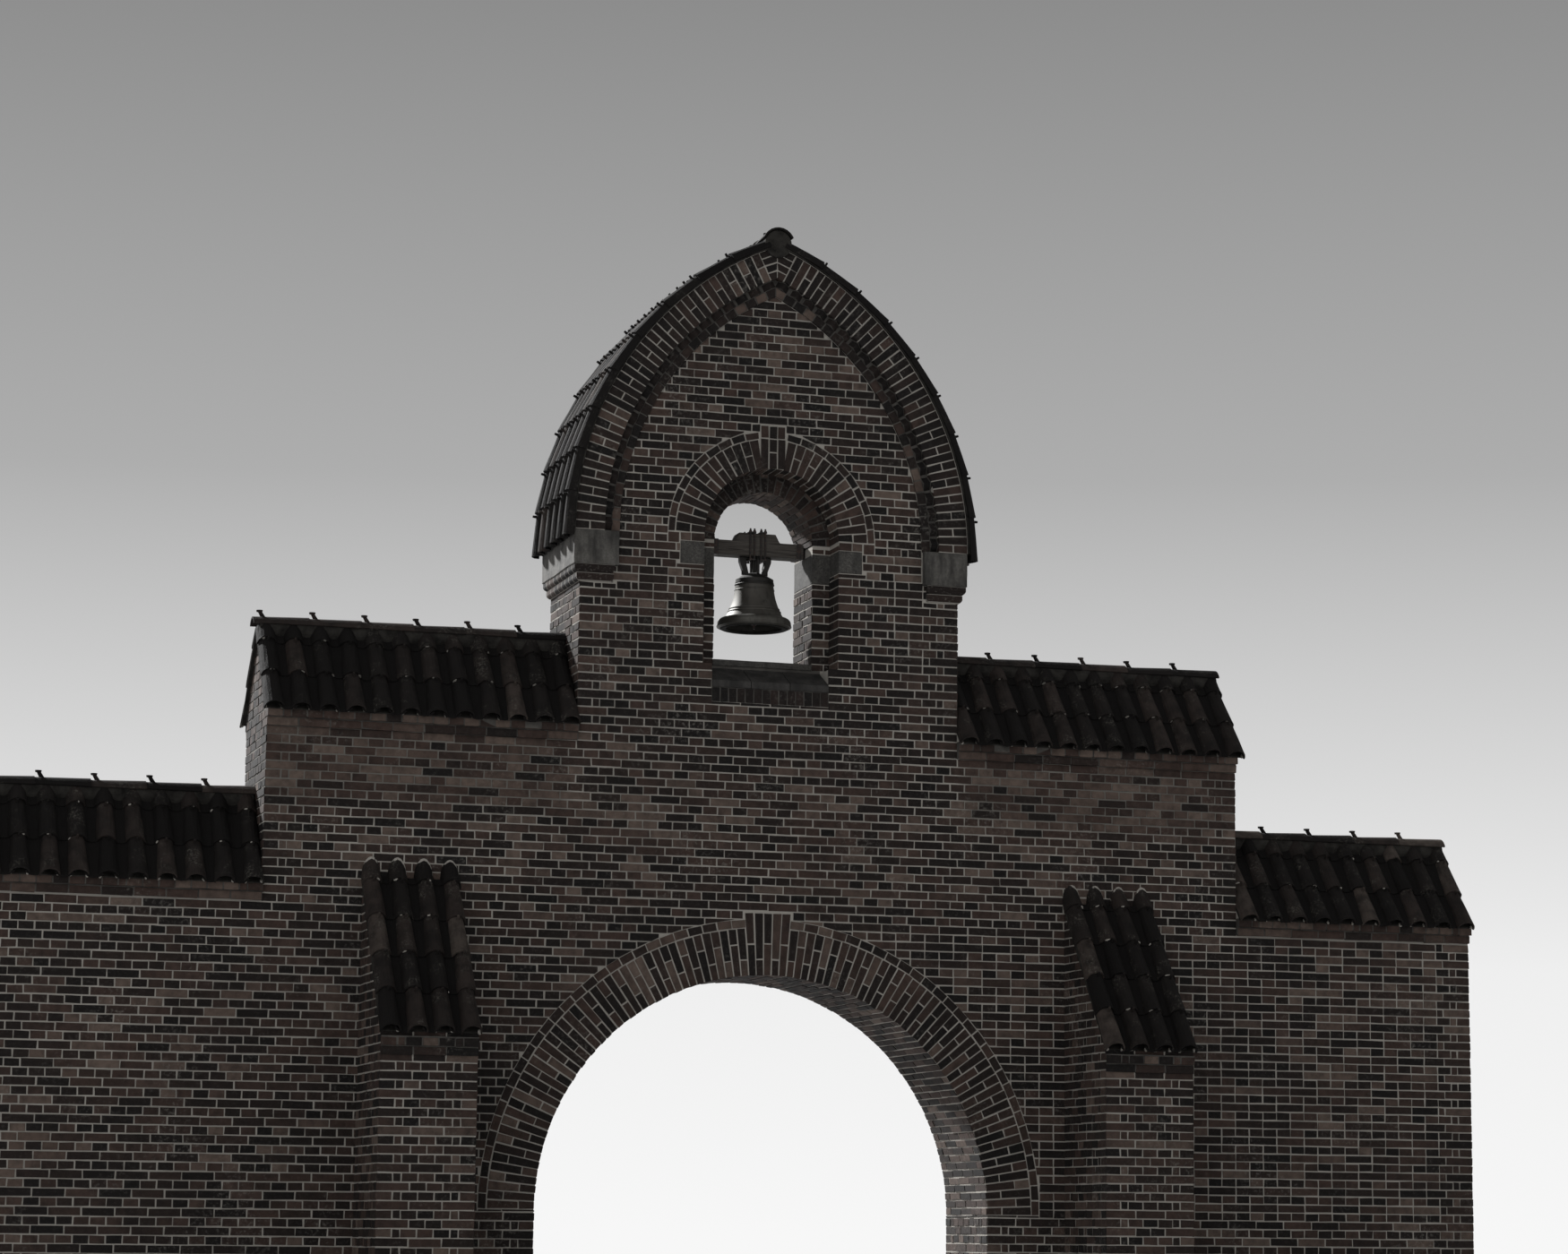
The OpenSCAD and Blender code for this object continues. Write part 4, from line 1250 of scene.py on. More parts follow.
    def execute(self, context):
        bricks = context.scene.bell_gable_bricks
        arch = new_bmesh()
        counts = self.arches(arch, bricks)
        make_piece("window_arch_bricks", arch, "brick")
        lining = new_bmesh()
        self.soffits(lining, bricks.window_half, *counts)
        self.jambs(lining, bricks.window_half)
        self.over_imposts(lining, bricks)
        self.rowlock(lining, bricks)
        make_piece("window_jamb_bricks", lining, "brick")
        return {"FINISHED"}


class BELLGABLE_OT_verge(bpy.types.Operator):
    """Lay the pointed verge: its voussoirs, the plain course and the dog-tooth course"""
    bl_idname = "bell_gable.verge"
    bl_label = "Verge"
    bl_options = {"REGISTER", "UNDO"}

    centre = (-VERGE_CX, VERGE_SPRING)

    def ring(self, drawing):
        """The voussoirs up to the apex, and four bricks that meet in a mitre there."""
        bricks = drawing.sizes
        inner = VERGE_R - bricks.verge_brick - 0.003
        outer = VERGE_R
        middle = (inner + outer) / 2
        half = bricks.joint / 2
        last = math.acos((VERGE_CX + 0.105) / middle)
        count = round(middle * last / bricks.course)
        list(drawing.arc(self.centre, last, count, drawing.halved(inner, outer)))
        deep = (outer - inner) / 4
        for row in range(4):
            face = drawing.wedge(
                self.centre, inner + row * deep + (half if row else 0), inner + (row + 1) * deep - half,
                last, last + 0.1)
            drawing.cut(face, (half, 0), (-1, 0))

    def plain(self, drawing):
        bricks = drawing.sizes
        outer = VERGE_R - bricks.verge_brick - bricks.tooth - 0.003
        last = math.acos(VERGE_CX / outer)
        count = round(outer * last / 0.1)
        for i in range(count + 1):
            face = drawing.wedge(
                self.centre, outer - bricks.plain + 0.001, outer, last * i / count, last * (i + 1) / count)
            drawing.cut(face, (0.004, 0), (-1, 0))

    def behind(self, drawing):
        """Dark bricks in the hollows between the teeth, as a painted shade."""
        outer = VERGE_R - drawing.sizes.verge_brick
        last = math.acos(VERGE_CX / outer)
        list(drawing.arc(self.centre, last, 12, lambda i, middle: [(outer - drawing.sizes.tooth, outer)]))

    @staticmethod
    def teeth(bm, bricks):
        """Bricks set corner-out, each with its own tone."""
        chance = random.Random("teeth")
        side = 0.0855
        spacing = 0.125
        cube = new_bmesh()
        bmesh.ops.create_cube(cube, size=1.0)
        bmesh.ops.scale(cube, verts=cube.verts, vec=(side, side, bricks.tooth - bricks.joint))
        rotate(cube, cube.verts, math.pi / 4, "Z")
        bevelled(cube, bricks.arris, 1)
        master = as_mesh(cube)
        radius = VERGE_R - bricks.verge_brick - bricks.tooth / 2 - bricks.joint * 0.4
        last = math.acos(VERGE_CX / radius)
        count = int(radius * last / spacing)
        for i in range(count):
            radial, tangent = round_the_verge((i + 0.5) * last / count)
            centre = Vector((-VERGE_CX, -WALL_Y, VERGE_SPRING)) + radial * radius
            skew = Matrix.Rotation(chance.uniform(-0.05, 0.05), 4, "Z")
            for place in at(axes_of(tangent, -INTO, radial, centre)):
                add_copy(bm, master, place @ skew, chance.uniform(0.0, 0.3))
        bpy.data.meshes.remove(master)

    def execute(self, context):
        bricks = context.scene.bell_gable_bricks
        ring = new_bmesh()
        band = new_bmesh()
        verge = facing_front(VERGE_Y)
        plain = facing_front(WALL_Y + bricks.plain_proud)
        for i, place in enumerate(QUARTERS):
            for name, shade, draw, target, face, depth in (
                    ("verge", "ring", self.ring, ring, verge, {"sink": 0.064}),
                    ("plain", "ring", self.plain, band, plain, {"proud": 0.004, "sink": 0.016}),
                    # The bricks behind the teeth take only the darkest tones: a painted shade in the hollows.
                    ("behind", "soot", self.behind, band, FRONT, {"proud": 0.002, "sink": 0.008})):
                drawing = Drawing(f"{name} {i}", shade)
                draw(drawing)
                drawing.lay(target, [place @ face], **depth)
        self.teeth(band, bricks)
        make_piece("verge_bricks", ring, "brick")
        make_piece("dog_tooth_bricks", band, "brick")
        return {"FINISHED"}


def round_the_verge(angle):
    """The ways out from the centre of the right arc, and along it, at an angle."""
    return Vector((math.cos(angle), 0, math.sin(angle))), Vector((-math.sin(angle), 0, math.cos(angle)))


# Stones

def dressed_block(bm, low, high, wear):
    """A cut stone with worn edges and faces that aren't quite flat."""
    middle = (Vector(low) + Vector(high)) / 2
    block = new_bmesh()
    bmesh.ops.create_cube(block, size=1.0)
    bmesh.ops.scale(block, verts=block.verts, vec=Vector(high) - Vector(low))
    bevelled(block, 0.006)
    longest = [edge for edge in block.edges if edge.calc_length() > 0.03]
    bmesh.ops.subdivide_edges(block, edges=longest, cuts=4, use_grid_fill=True)
    roughen(block, wear, middle)
    move(block, block.verts, middle)
    spread(bm, block)


class BELLGABLE_OT_stones(bpy.types.Operator):
    """Set the kneelers, the imposts and the sills"""
    bl_idname = "bell_gable.stones"
    bl_label = "Stones"
    bl_options = {"REGISTER", "UNDO"}

    @staticmethod
    def sloping():
        """Sills that fall from the inner order to the face, in three stones on each side."""
        sills = new_bmesh()
        profile = [
            (-ORDER_Y, SILL_NOSE_Z), (SILL_NOSE_Y, SILL_NOSE_Z), (SILL_NOSE_Y, SILL_NOSE_Z + 0.055),
            (-ORDER_Y, ORDER_FOOT_Z)]
        wide = 2 * SILL_X / 3
        for i in range(3):
            stone = new_bmesh()
            prism(stone, [(-SILL_X + i * wide + 0.002, y, z) for y, z in profile], (wide - 0.004, 0, 0))
            outward(stone)
            bevelled(stone, 0.005)
            spread(sills, stone, FACES)
        return sills

    def execute(self, context):
        bricks = context.scene.bell_gable_bricks
        half = bricks.window_half
        out = WALL_Y + 0.004
        into = ORDER_Y - 0.002
        past = ORDER_Y + 0.003
        sides = (
            (KNEELER_X - bricks.kneeler, KNEELER_X, -VERGE_Y, VERGE_Y, KNEELER_Z, VERGE_SPRING, 0.0016),
            (half - 0.003, IMPOST_X, -out, -into, IMPOST_Z, IMPOST_TOP, 0.001),
            (half - 0.003, IMPOST_X, into, out, IMPOST_Z, IMPOST_TOP, 0.001),
            (INNER_R - 0.003, half + 0.03, -past, past, INNER_IMPOST_Z, IMPOST_TOP, 0.001))
        kneelers = new_bmesh()
        outer = new_bmesh()
        inner = new_bmesh()
        for side in (-1, 1):
            for bm, (near, far, y0, y1, z0, z1, wear) in zip((kneelers, outer, outer, inner), sides):
                x0, x1 = sorted((side * near, side * far))
                dressed_block(bm, (x0, y0, z0), (x1, y1, z1), wear)
        slab = new_bmesh()
        dressed_block(slab, *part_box("inner_sill"), 0.001)
        for name, bm, material, node in (
                ("kneelers", kneelers, "kneeler", "kneeler_stones"),
                ("outer_imposts", outer, "stone", "outer_impost_stones"),
                ("inner_imposts", inner, "stone", "inner_impost_stones"),
                ("window_slab", slab, "stone", "inner_sill"),
                ("sloping_sill_stones", self.sloping(), "sill", "sloping_sills")):
            make_piece(name, bm, material, [node])
        return {"FINISHED"}


# Tiles

def half_round(low, high, long, wall, keep, segments=20):
    """A tapered tile along Y with its wide end at the origin."""
    bm = new_bmesh()
    bmesh.ops.create_cone(bm, cap_ends=False, segments=segments, radius1=low, radius2=high, depth=long)
    rotate(bm, bm.verts, -math.pi / 2, "X")
    move(bm, bm.verts, (0, long / 2, 0))
    slice_at(bm, (0, 0, keep), (0, 0, -1))
    bm.normal_update()
    bmesh.ops.solidify(bm, geom=list(bm.faces), thickness=wall)
    outward(bm)
    return bm


def add_knob(bm, y, z, tall, wide):
    """A blunt knob that stands on the back of a tile."""
    made = bmesh.ops.create_cone(
        bm, cap_ends=True, segments=7, radius1=wide, radius2=wide * 0.72, depth=tall + 0.01)
    move(bm, made["verts"], (0, y, z + tall / 2 - 0.005))


def add_leaning_knob(bm, y, z, tall, lean):
    """A knob that leans towards the far end, with a flat cap like a nail's head."""
    stem = bmesh.ops.create_cone(bm, cap_ends=True, segments=7, radius1=0.021, radius2=0.016, depth=tall)
    for vert in stem["verts"]:
        vert.co += Vector((0, y + lean * (vert.co.z / tall + 0.5), z + tall / 2))
    cap = bmesh.ops.create_cone(bm, cap_ends=True, segments=9, radius1=0.023, radius2=0.026, depth=0.014)
    move(bm, cap["verts"], (0, y + lean, z + tall))


def cover_master(tiles, long, seed=0):
    """A cover tile with its knob, cut to a length. Its surface wanders a little."""
    taper = (tiles.low - tiles.high) / tiles.long
    bm = half_round(tiles.low, tiles.low - taper * long, long, tiles.wall, 0.0, 18)
    for share in (0.12, 0.45, 0.78):
        slice_at(bm, (0, long * share, 0), (0, 1, 0), False)
    roughen(bm, 0.0022, (seed,))
    move(bm, bm.verts, (0, 0, tiles.lift))
    knob_y = tiles.gauge - 0.03
    if long > tiles.gauge:
        add_knob(bm, knob_y, tiles.lift + tiles.low - taper * knob_y, tiles.knob, 0.013)
    return as_mesh(bm)


def channel_master(tiles, long):
    """A channel tile that lies hollow side up between two covers."""
    bm = half_round(tiles.trough, tiles.trough + 0.006, long, tiles.wall, tiles.trough * 0.55)
    rotate(bm, bm.verts, math.pi, "Y")
    move(bm, bm.verts, (0, 0, tiles.trough + 0.01))
    return as_mesh(bm)


def crumb(subdivisions, wear, seed):
    """A small uneven ball of mortar."""
    ball = new_bmesh()
    bmesh.ops.create_icosphere(ball, subdivisions=subdivisions, radius=1.0)
    roughen(ball, wear, (seed,))
    return as_mesh(ball)


def bed_outline(wide, centres, tiles, below):
    """The section of the mortar under the tiles, which fills the covers, closed below."""
    radius = tiles.high - tiles.wall

    def height(u):
        nearest = min(abs(u - centre) for centre in centres)
        return 0.006 if nearest >= radius else max(tiles.lift + math.sqrt(radius ** 2 - nearest ** 2), 0.006)

    steps = 8 * len(centres)
    top = [(wide * i / steps, height(wide * i / steps)) for i in range(steps + 1)]
    return [(0.0, -below), (wide, -below), *top[::-1]]


def row_of(first, last, count):
    return [first + (last - first) * i / (count - 1) for i in range(count)]


def between(centres):
    return [(a + b) / 2 for a, b in zip(centres, centres[1:])]


class TiledSlope:
    """One straight slope of tiles, repeated on both sides of both walls."""

    over = 0.04

    def __init__(self, name, start, pitch, deep, wide, centres, tall, into=0.0):
        x, y, z = start
        origin = (x, y - self.over * math.cos(pitch), z - self.over * math.sin(pitch))
        self.matrix = plane(origin, ALONG, (0, math.cos(pitch), math.sin(pitch))) @ Matrix.Scale(tall, 4, UP)
        self.places = at(self.matrix)
        self.tiles = bpy.context.scene.bell_gable_tiles
        self.chance = random.Random(name)
        self.run = deep / math.cos(pitch) + self.over
        self.rows = math.ceil((self.run - 0.05) / self.tiles.gauge)
        self.name = name
        self.wide = wide
        self.centres = centres
        self.into = into

    def tone(self, shaded_channel):
        """Channels take the darkest tones as a painted shade between the covers, and now and then a cover is
        lighter than the rest.
        """
        if shaded_channel:
            return 0.1 * self.chance.random()
        return self.chance.uniform(*((0.85, 0.95) if self.chance.random() < 0.05 else (0.05, 0.75)))

    def cover(self, target):
        """Lays the covers and channels, course by course."""
        tiles = self.tiles
        chance = self.chance
        for row in range(self.rows):
            last = row == self.rows - 1
            start = row * tiles.gauge
            long = min(tiles.long, self.run - start)
            cover = cover_master(tiles, long + (self.into if last else 0.0), row)
            channel = channel_master(tiles, long)
            for place in self.places:
                for master, across in ((cover, self.centres), (channel, between(self.centres))):
                    for u in across:
                        lift = 0.003 * row if master is channel else 0.0
                        slip = 0.0 if last else chance.uniform(-0.006, 0.006)
                        spot = Matrix.Translation((u + chance.uniform(-0.003, 0.003), start + slip, lift))
                        turn = Matrix.Rotation(chance.uniform(-0.018, 0.018), 4, "Z")
                        add_copy(target, master, place @ spot @ turn, self.tone(master is channel))
            for master in (cover, channel):
                bpy.data.meshes.remove(master)

    def bed(self, target):
        """Mortar of one section along the slope, and a strip of it under the lowest tiles."""
        strip = [(0.0, -0.002), (self.wide, -0.002), (self.wide, 0.008), (0.0, 0.008)]
        outline = bed_outline(self.wide, self.centres, self.tiles, 0.004)
        for points, low, high in ((outline, 0.11, self.run - 0.01), (strip, 0.02, 0.12)):
            bm = new_bmesh()
            prism(bm, [(u, low, h) for u, h in points], (0, high - low, 0))
            outward(bm)
            spread(target, bm, self.places)

    def lumps(self, target):
        """Bits of mortar that hold the feet of the lowest covers."""
        chance = self.chance
        mesh = crumb(2, 0.16, self.wide)
        for place in self.places:
            for u in self.centres:
                for side in (-1, 1):
                    if chance.random() < 0.75:
                        size = [chance.uniform(0.5, 1.0) * part for part in (0.016, 0.022, 0.017)]
                        spot = Matrix.Translation((u + side * 0.062, chance.uniform(0.016, 0.03), 0.012))
                        turn = Matrix.Rotation(chance.uniform(0, 6), 4, "Z")
                        add_copy(target, mesh, place @ spot @ Matrix.Diagonal((*size, 1)) @ turn)
        bpy.data.meshes.remove(mesh)

    def specks(self, target):
        """Crumbs of mortar where one cover laps another."""
        tiles = self.tiles
        chance = self.chance
        mesh = crumb(1, 0.2, self.run)
        out = tiles.low - (tiles.low - tiles.high) / tiles.long * tiles.gauge + 0.005
        for place in self.places:
            for row in range(1, self.rows):
                for u in self.centres:
                    if chance.random() < 0.6:
                        lean = chance.uniform(-1.1, 1.1)
                        y = row * tiles.gauge - 0.003
                        spot = Matrix.Translation(
                            (u + math.sin(lean) * out, y, tiles.lift + math.cos(lean) * out))
                        size = [chance.uniform(0.5, 1.0) * part for part in (0.022, 0.01, 0.008)]
                        turn = Matrix.Rotation(lean, 4, "Y")
                        add_copy(target, mesh, place @ spot @ turn @ Matrix.Diagonal((*size, 1)))
        bpy.data.meshes.remove(mesh)

    def collars(self, target):
        """Fillets that outline the covers where they run into the wall."""
        high = self.tiles.high
        bm = new_bmesh()
        for u in self.centres:
            ring = half_round(high + 0.012, high + 0.009, 0.5, 0.028, 0.0)
            move(ring, ring.verts, (u, self.run - 0.25, self.tiles.lift))
            ring.transform(self.matrix)
            for y, way in ((-WALL_Y - 0.017, -1), (-WALL_Y + 0.004, 1)):
                slice_at(ring, (0, y, 0), (0, way, 0))
            bmesh.ops.holes_fill(ring, edges=ring.edges[:])
            outward(ring)
            spread(bm, ring)
        spread(target, bm, QUARTERS)

    def build(self, nodes):
        tiles = new_bmesh()
        self.cover(tiles)
        bed = new_bmesh()
        self.bed(bed)
        lime = new_bmesh()
        self.lumps(lime)
        self.specks(lime)
        if self.into:
            self.collars(lime)
        make_piece(f"{self.name}_tiles", tiles, "tile", nodes)
        make_piece(f"{self.name}_tile_bed", bed, "bed")
        make_piece(f"{self.name}_tile_fillets", lime, "mortar")


class BELLGABLE_OT_roofs(bpy.types.Operator):
    """Tile the shoulders, the flanks and the buttresses"""
    bl_idname = "bell_gable.roofs"
    bl_label = "Straight roofs"
    bl_options = {"REGISTER", "UNDO"}

    def execute(self, context):
        for name, x0, x1, bed_z, count in (
                ("wing", GABLE_X, WING_END_X, WING_BED_Z, 12), ("flank", GATE_X, FLANK_X, FLANK_BED_Z, 10)):
            wide = x1 - x0
            centres = row_of(0.075, wide - 0.07, count)
            slope = TiledSlope(name, (x0, -EAVES_Y, bed_z), ROOF_SLOPE, EAVES_Y, wide, centres, 1.15)
            slope.build([f"{side}_{name}_roof" for side in ("left", "right")])
        buttress = context.scene.bell_gable_bricks.buttress
        deep = BUTTRESS_Y - WALL_Y
        wide = buttress + 0.024
        start = (BUTTRESS_X - buttress - 0.012, -BUTTRESS_Y, BUTTRESS_TOP - deep * math.tan(BUTTRESS_PITCH))
        slope = TiledSlope(
            "buttress", start, BUTTRESS_PITCH, deep, wide, row_of(0.07, wide - 0.07, 4), 1.35, 0.13)
        slope.build(["buttress_roofs"])
        return {"FINISHED"}


# The covers of the curved slopes, across the wall
COVER_SPACING = 0.202
COVERS_Y = [(-2.5 + i) * COVER_SPACING for i in range(6)]


class BELLGABLE_OT_gable_roof(bpy.types.Operator):
    """Tile the two curved slopes of the gable"""
    bl_idname = "bell_gable.gable_roof"
    bl_label = "Gable roof"
    bl_options = {"REGISTER", "UNDO"}

    @staticmethod
    def cover(bm, tiles):
        """Rows of tiles that follow the arc, with short covers at the top."""
        chance = random.Random("gable tiles")
        low_angle = math.radians(-1)
        top_angle = math.acos((VERGE_CX + 0.06) / (VERGE_R + 0.05))
        rows = 9
        step = (top_angle - low_angle) / rows
        cover = cover_master(tiles, tiles.long)
        channel = channel_master(tiles, tiles.long)
        short = cover_master(tiles, tiles.gauge * 0.96)
        layers = [(cover, COVERS_Y), (channel, between(COVERS_Y))]
        for half in (IDENTITY, MIRRORED):
            for row in range(rows):
                radial, tangent = round_the_verge(low_angle + row * step + step * 0.56)
                base = Vector((-VERGE_CX, 0, VERGE_SPRING)) + radial * (VERGE_R - 0.004)
                spot = axes_of(-INTO, tangent, radial, base - tangent * tiles.long / 2)
                for master, across in layers if row < rows - 1 else [(short, COVERS_Y)]:
                    for y in across:
                        jog = Matrix.Translation(
                            (y + chance.uniform(-0.003, 0.003), chance.uniform(-0.005, 0.005), 0))
                        skew = Matrix.Rotation(chance.uniform(-0.015, 0.015), 4, "Z")
                        # Painted shade: the channels, and the outermost covers at the edges of the slope, are
                        # held to the darkest tones.
                        lightest = 0.25 if abs(y) > 2.2 * COVER_SPACING else 0.85
                        tone = chance.random() * (0.1 if master is channel else lightest)
                        add_copy(bm, master, half @ spot @ jog @ skew, tone)
        for master in (cover, channel, short):
            bpy.data.meshes.remove(master)

    @staticmethod
    def turned(bm, section):
        """Mortar of one section, turned about the centre of each arc."""
        half = new_bmesh()
        start = half.faces.new([
            half.verts.new((VERGE_R + h - VERGE_CX, y, VERGE_SPRING)) for y, h in section])
        bmesh.ops.spin(
            half, geom=[start, *start.edges, *start.verts], cent=(-VERGE_CX, 0, VERGE_SPRING), axis=(0, 1, 0),
            angle=-math.radians(67.5), steps=30, use_merge=False, use_duplicate=False)
        outward(half)
        spread(bm, half, (IDENTITY, MIRRORED))

    def execute(self, context):
        tiles = context.scene.bell_gable_tiles
        bm = new_bmesh()
        self.cover(bm, tiles)
        make_piece("gable_tiles", bm, "tile", ["left_gable_roof", "right_gable_roof"])
        bed = new_bmesh()
        deep = reach("right_gable_roof").y - 0.012
        outline = bed_outline(2 * deep, [y + deep for y in COVERS_Y], tiles, 0.003)
        self.turned(bed, [(u - deep, h) for u, h in outline])
        make_piece("gable_tile_bed", bed, "bed")
        line = new_bmesh()
        for side in (-1, 1):
            edge = side * (VERGE_Y + 0.009)
            self.turned(line, [(side * 0.5, -0.006), (edge, -0.006), (edge, 0.006), (side * 0.5, 0.006)])
        make_piece("verge_fillets", line, "mortar")
        return {"FINISHED"}


class BELLGABLE_OT_ridges(bpy.types.Operator):
    """Set the ridge tiles with their knobs"""
    bl_idname = "bell_gable.ridges"
    bl_label = "Ridges"
    bl_options = {"REGISTER", "UNDO"}

    @staticmethod
    def run(bm, bed, start, way, long, count, radius, seed):
        """Half-round tiles end over end along a ridge, each with a knob near its far end."""
        chance = random.Random(seed)
        gauge = long / count
        start = Vector(start)
        across = way.cross(UP)
        master = half_round(radius, radius - 0.011, gauge + 0.03, 0.014, radius * 0.4, 24)
        tall = bpy.context.scene.bell_gable_tiles.ridge_knob
        add_leaning_knob(master, gauge * 0.86, radius - 0.016, tall, 0.03)
        mesh = as_mesh(master)
        for i in range(count):
            tilt = Matrix.Rotation(chance.uniform(-0.012, 0.012), 4, "X")
            add_copy(bm, mesh, axes_of(across, way, UP, start + way * gauge * i) @ tilt, chance.random())
        bpy.data.meshes.remove(mesh)
        core = new_bmesh()
        inner = radius - 0.022
        bmesh.ops.create_cone(
            core, cap_ends=True, segments=24, radius1=inner, radius2=inner, depth=long - 0.04)
        rotate(core, core.verts, -math.pi / 2, "X")
        spread(bed, core, [axes_of(across, way, UP, start + way * long / 2)])

    def execute(self, context):
        radius = context.scene.bell_gable_tiles.ridge
        bed = new_bmesh()
        for name, count, x0, x1 in (
                ("wing_ridges", 6, GABLE_X, WING_END_X), ("flank_ridges", 5, GATE_X, FLANK_X)):
            bm = new_bmesh()
            for x in (-x0, x1):
                start = (x, 0, reach(name).z - radius + 0.003)
                self.run(bm, bed, start, -ALONG, x1 - x0, count, radius, f"{name} {x}")
            make_piece(f"{name[:-1]}_tiles", bm, "tile", [name])
        bm = new_bmesh()
        low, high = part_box("gable_ridge")
        radius = 0.133
        self.run(bm, bed, (0, low.y, high.z - radius + 0.003), INTO, high.y - low.y, 3, radius, "gable ridge")
        make_piece("gable_ridge_tiles", bm, "tile", ["gable_ridge"])
        make_piece("ridge_beds", bed, "bed")
        return {"FINISHED"}


# Bell

class BELLGABLE_OT_bell(bpy.types.Operator):
    """Shape the headstock and give the bell and its ironwork their finish"""
    bl_idname = "bell_gable.bell"
    bl_label = "Bell"
    bl_options = {"REGISTER", "UNDO"}

    arm = 0.117

    def headstock(self, low, high):
        """A beam with a hump over the bell."""
        hump = 0.187
        crest = 0.153
        shoulder = low.z + self.arm
        outline = [
            (low.x, low.z), (high.x, low.z), (high.x, shoulder), (hump, shoulder), (crest, high.z),
            (-crest, high.z), (-hump, shoulder), (low.x, shoulder)]
        bm = new_bmesh()
        prism(bm, [(x, low.y, z) for x, z in outline], (0, high.y - low.y, 0))
        outward(bm)
        bevelled(bm, 0.009)
        roughen(bm, 0.0008, (crest,))
        return bm

    @staticmethod
    def bar(bm, outline, half):
        """A flat bar of one outline, centred through the wall."""
        prism(bm, [(x, -half, z) for x, z in outline], (0, 2 * half, 0))

    def collars(self, low, high):
        """Iron straps round the ends of the headstock, with a bolt on each."""
        bm = new_bmesh()
        bottom = low.z - 0.004
        top = low.z + self.arm + 0.004
        for side in (-1, 1):
            x0, x1 = sorted((side * (high.x - 0.062), side * (high.x - 0.022)))
            self.bar(bm, [(x0, bottom), (x1, bottom), (x1, top), (x0, top)], high.y + 0.004)
            bolt = bmesh.ops.create_cone(
                bm, cap_ends=True, segments=6, radius1=0.014, radius2=0.012, depth=0.03)
            move(bm, bolt["verts"], ((x0 + x1) / 2, 0, top + 0.012))
        outward(bm)
        return bm

    def crown(self, top):
        """The canons that spread from the crown to the headstock."""
        foot_z = MOUTH_Z + 0.432
        bm = new_bmesh()
        outline = [
            (0.131, top - 0.003), (0.131, top - 0.04), (0.09, foot_z), (0.052, foot_z), (0.076, top - 0.055),
            (0.076, top - 0.003)]
        for side in (-1, 1):
            self.bar(bm, [(side * x, z) for x, z in outline], 0.03)
        self.bar(bm, [(-0.028, foot_z), (0.028, foot_z), (0.024, top - 0.003), (-0.024, top - 0.003)], 0.03)
        outward(bm)
        bevelled(bm, 0.006)
        return bm

    @staticmethod
    def bands():
        """Raised rings round the shoulder and the sound bow."""
        bm = new_bmesh()
        for up, radius, thick in (
                (0.36, 0.1545, 0.006), (0.316, 0.156, 0.006), (0.144, 0.203, 0.005), (0.121, 0.213, 0.005)):
            circle = bmesh.ops.create_circle(bm, cap_ends=False, segments=8, radius=thick)["verts"]
            rotate(bm, circle, math.pi / 2, "X")
            move(bm, circle, (radius, 0, MOUTH_Z + up))
            edges = list({edge for vert in circle for edge in vert.link_edges})
            bmesh.ops.spin(
                bm, geom=[*circle, *edges], cent=(0, 0, 0), axis=(0, 0, 1), angle=2 * math.pi, steps=64,
                use_merge=True, use_duplicate=False)
        outward(bm)
        return bm

    def execute(self, context):
        low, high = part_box("headstock")
        for name, bm, material, slot, nodes in (
                ("oak_headstock", self.headstock(low, high), "oak", "oak", ["headstock"]),
                ("headstock_collars", self.collars(low, high), "iron", "iron", []),
                ("bell_canons", self.crown(low.z), "bronze", "bell_bronze", []),
                ("bell_bands", self.bands(), "bronze", "bell_bronze", [])):
            make_piece(name, bm, material, nodes, "swinging_bell")
        dress("bell", "bronze")
        for node in ("clapper", "headstock_straps", "gudgeons", "bearings"):
            dress(node, "iron")
        return {"FINISHED"}


def dress(node, material):
    """Gives a node of the frame its material."""
    obj = frame["nodes"][node]
    if not obj.material_slots:
        obj.data.materials.append(None)
    for slot in obj.material_slots:
        slot.material = finish(material)


class BELLGABLE_OT_mortar(bpy.types.Operator):
    """Give the masonry behind the bricks its mortar"""
    bl_idname = "bell_gable.mortar"
    bl_label = "Mortar"
    bl_options = {"REGISTER", "UNDO"}

    def execute(self, context):
        # Nodes dressed in the dark roof mortar. On the dog-tooth band and on the undersides of the corbelled
        # eaves courses its darkness is a painted shade.
        sooty = (
            "window_breast", "inner_window_arch", "wing_eaves_courses", "flank_eaves_courses",
            "buttress_mouldings", "dog_tooth_bands")
        for part in frame["record"]["subparts"]:
            node = part["node"]
            if node == "kneeler_mouldings":
                dress(node, "moulded")
            elif part["material_slot"] in ("brick", "arch_brick"):
                dress(node, "sooty" if node in sooty else "mortar")
        return {"FINISHED"}


# Stage

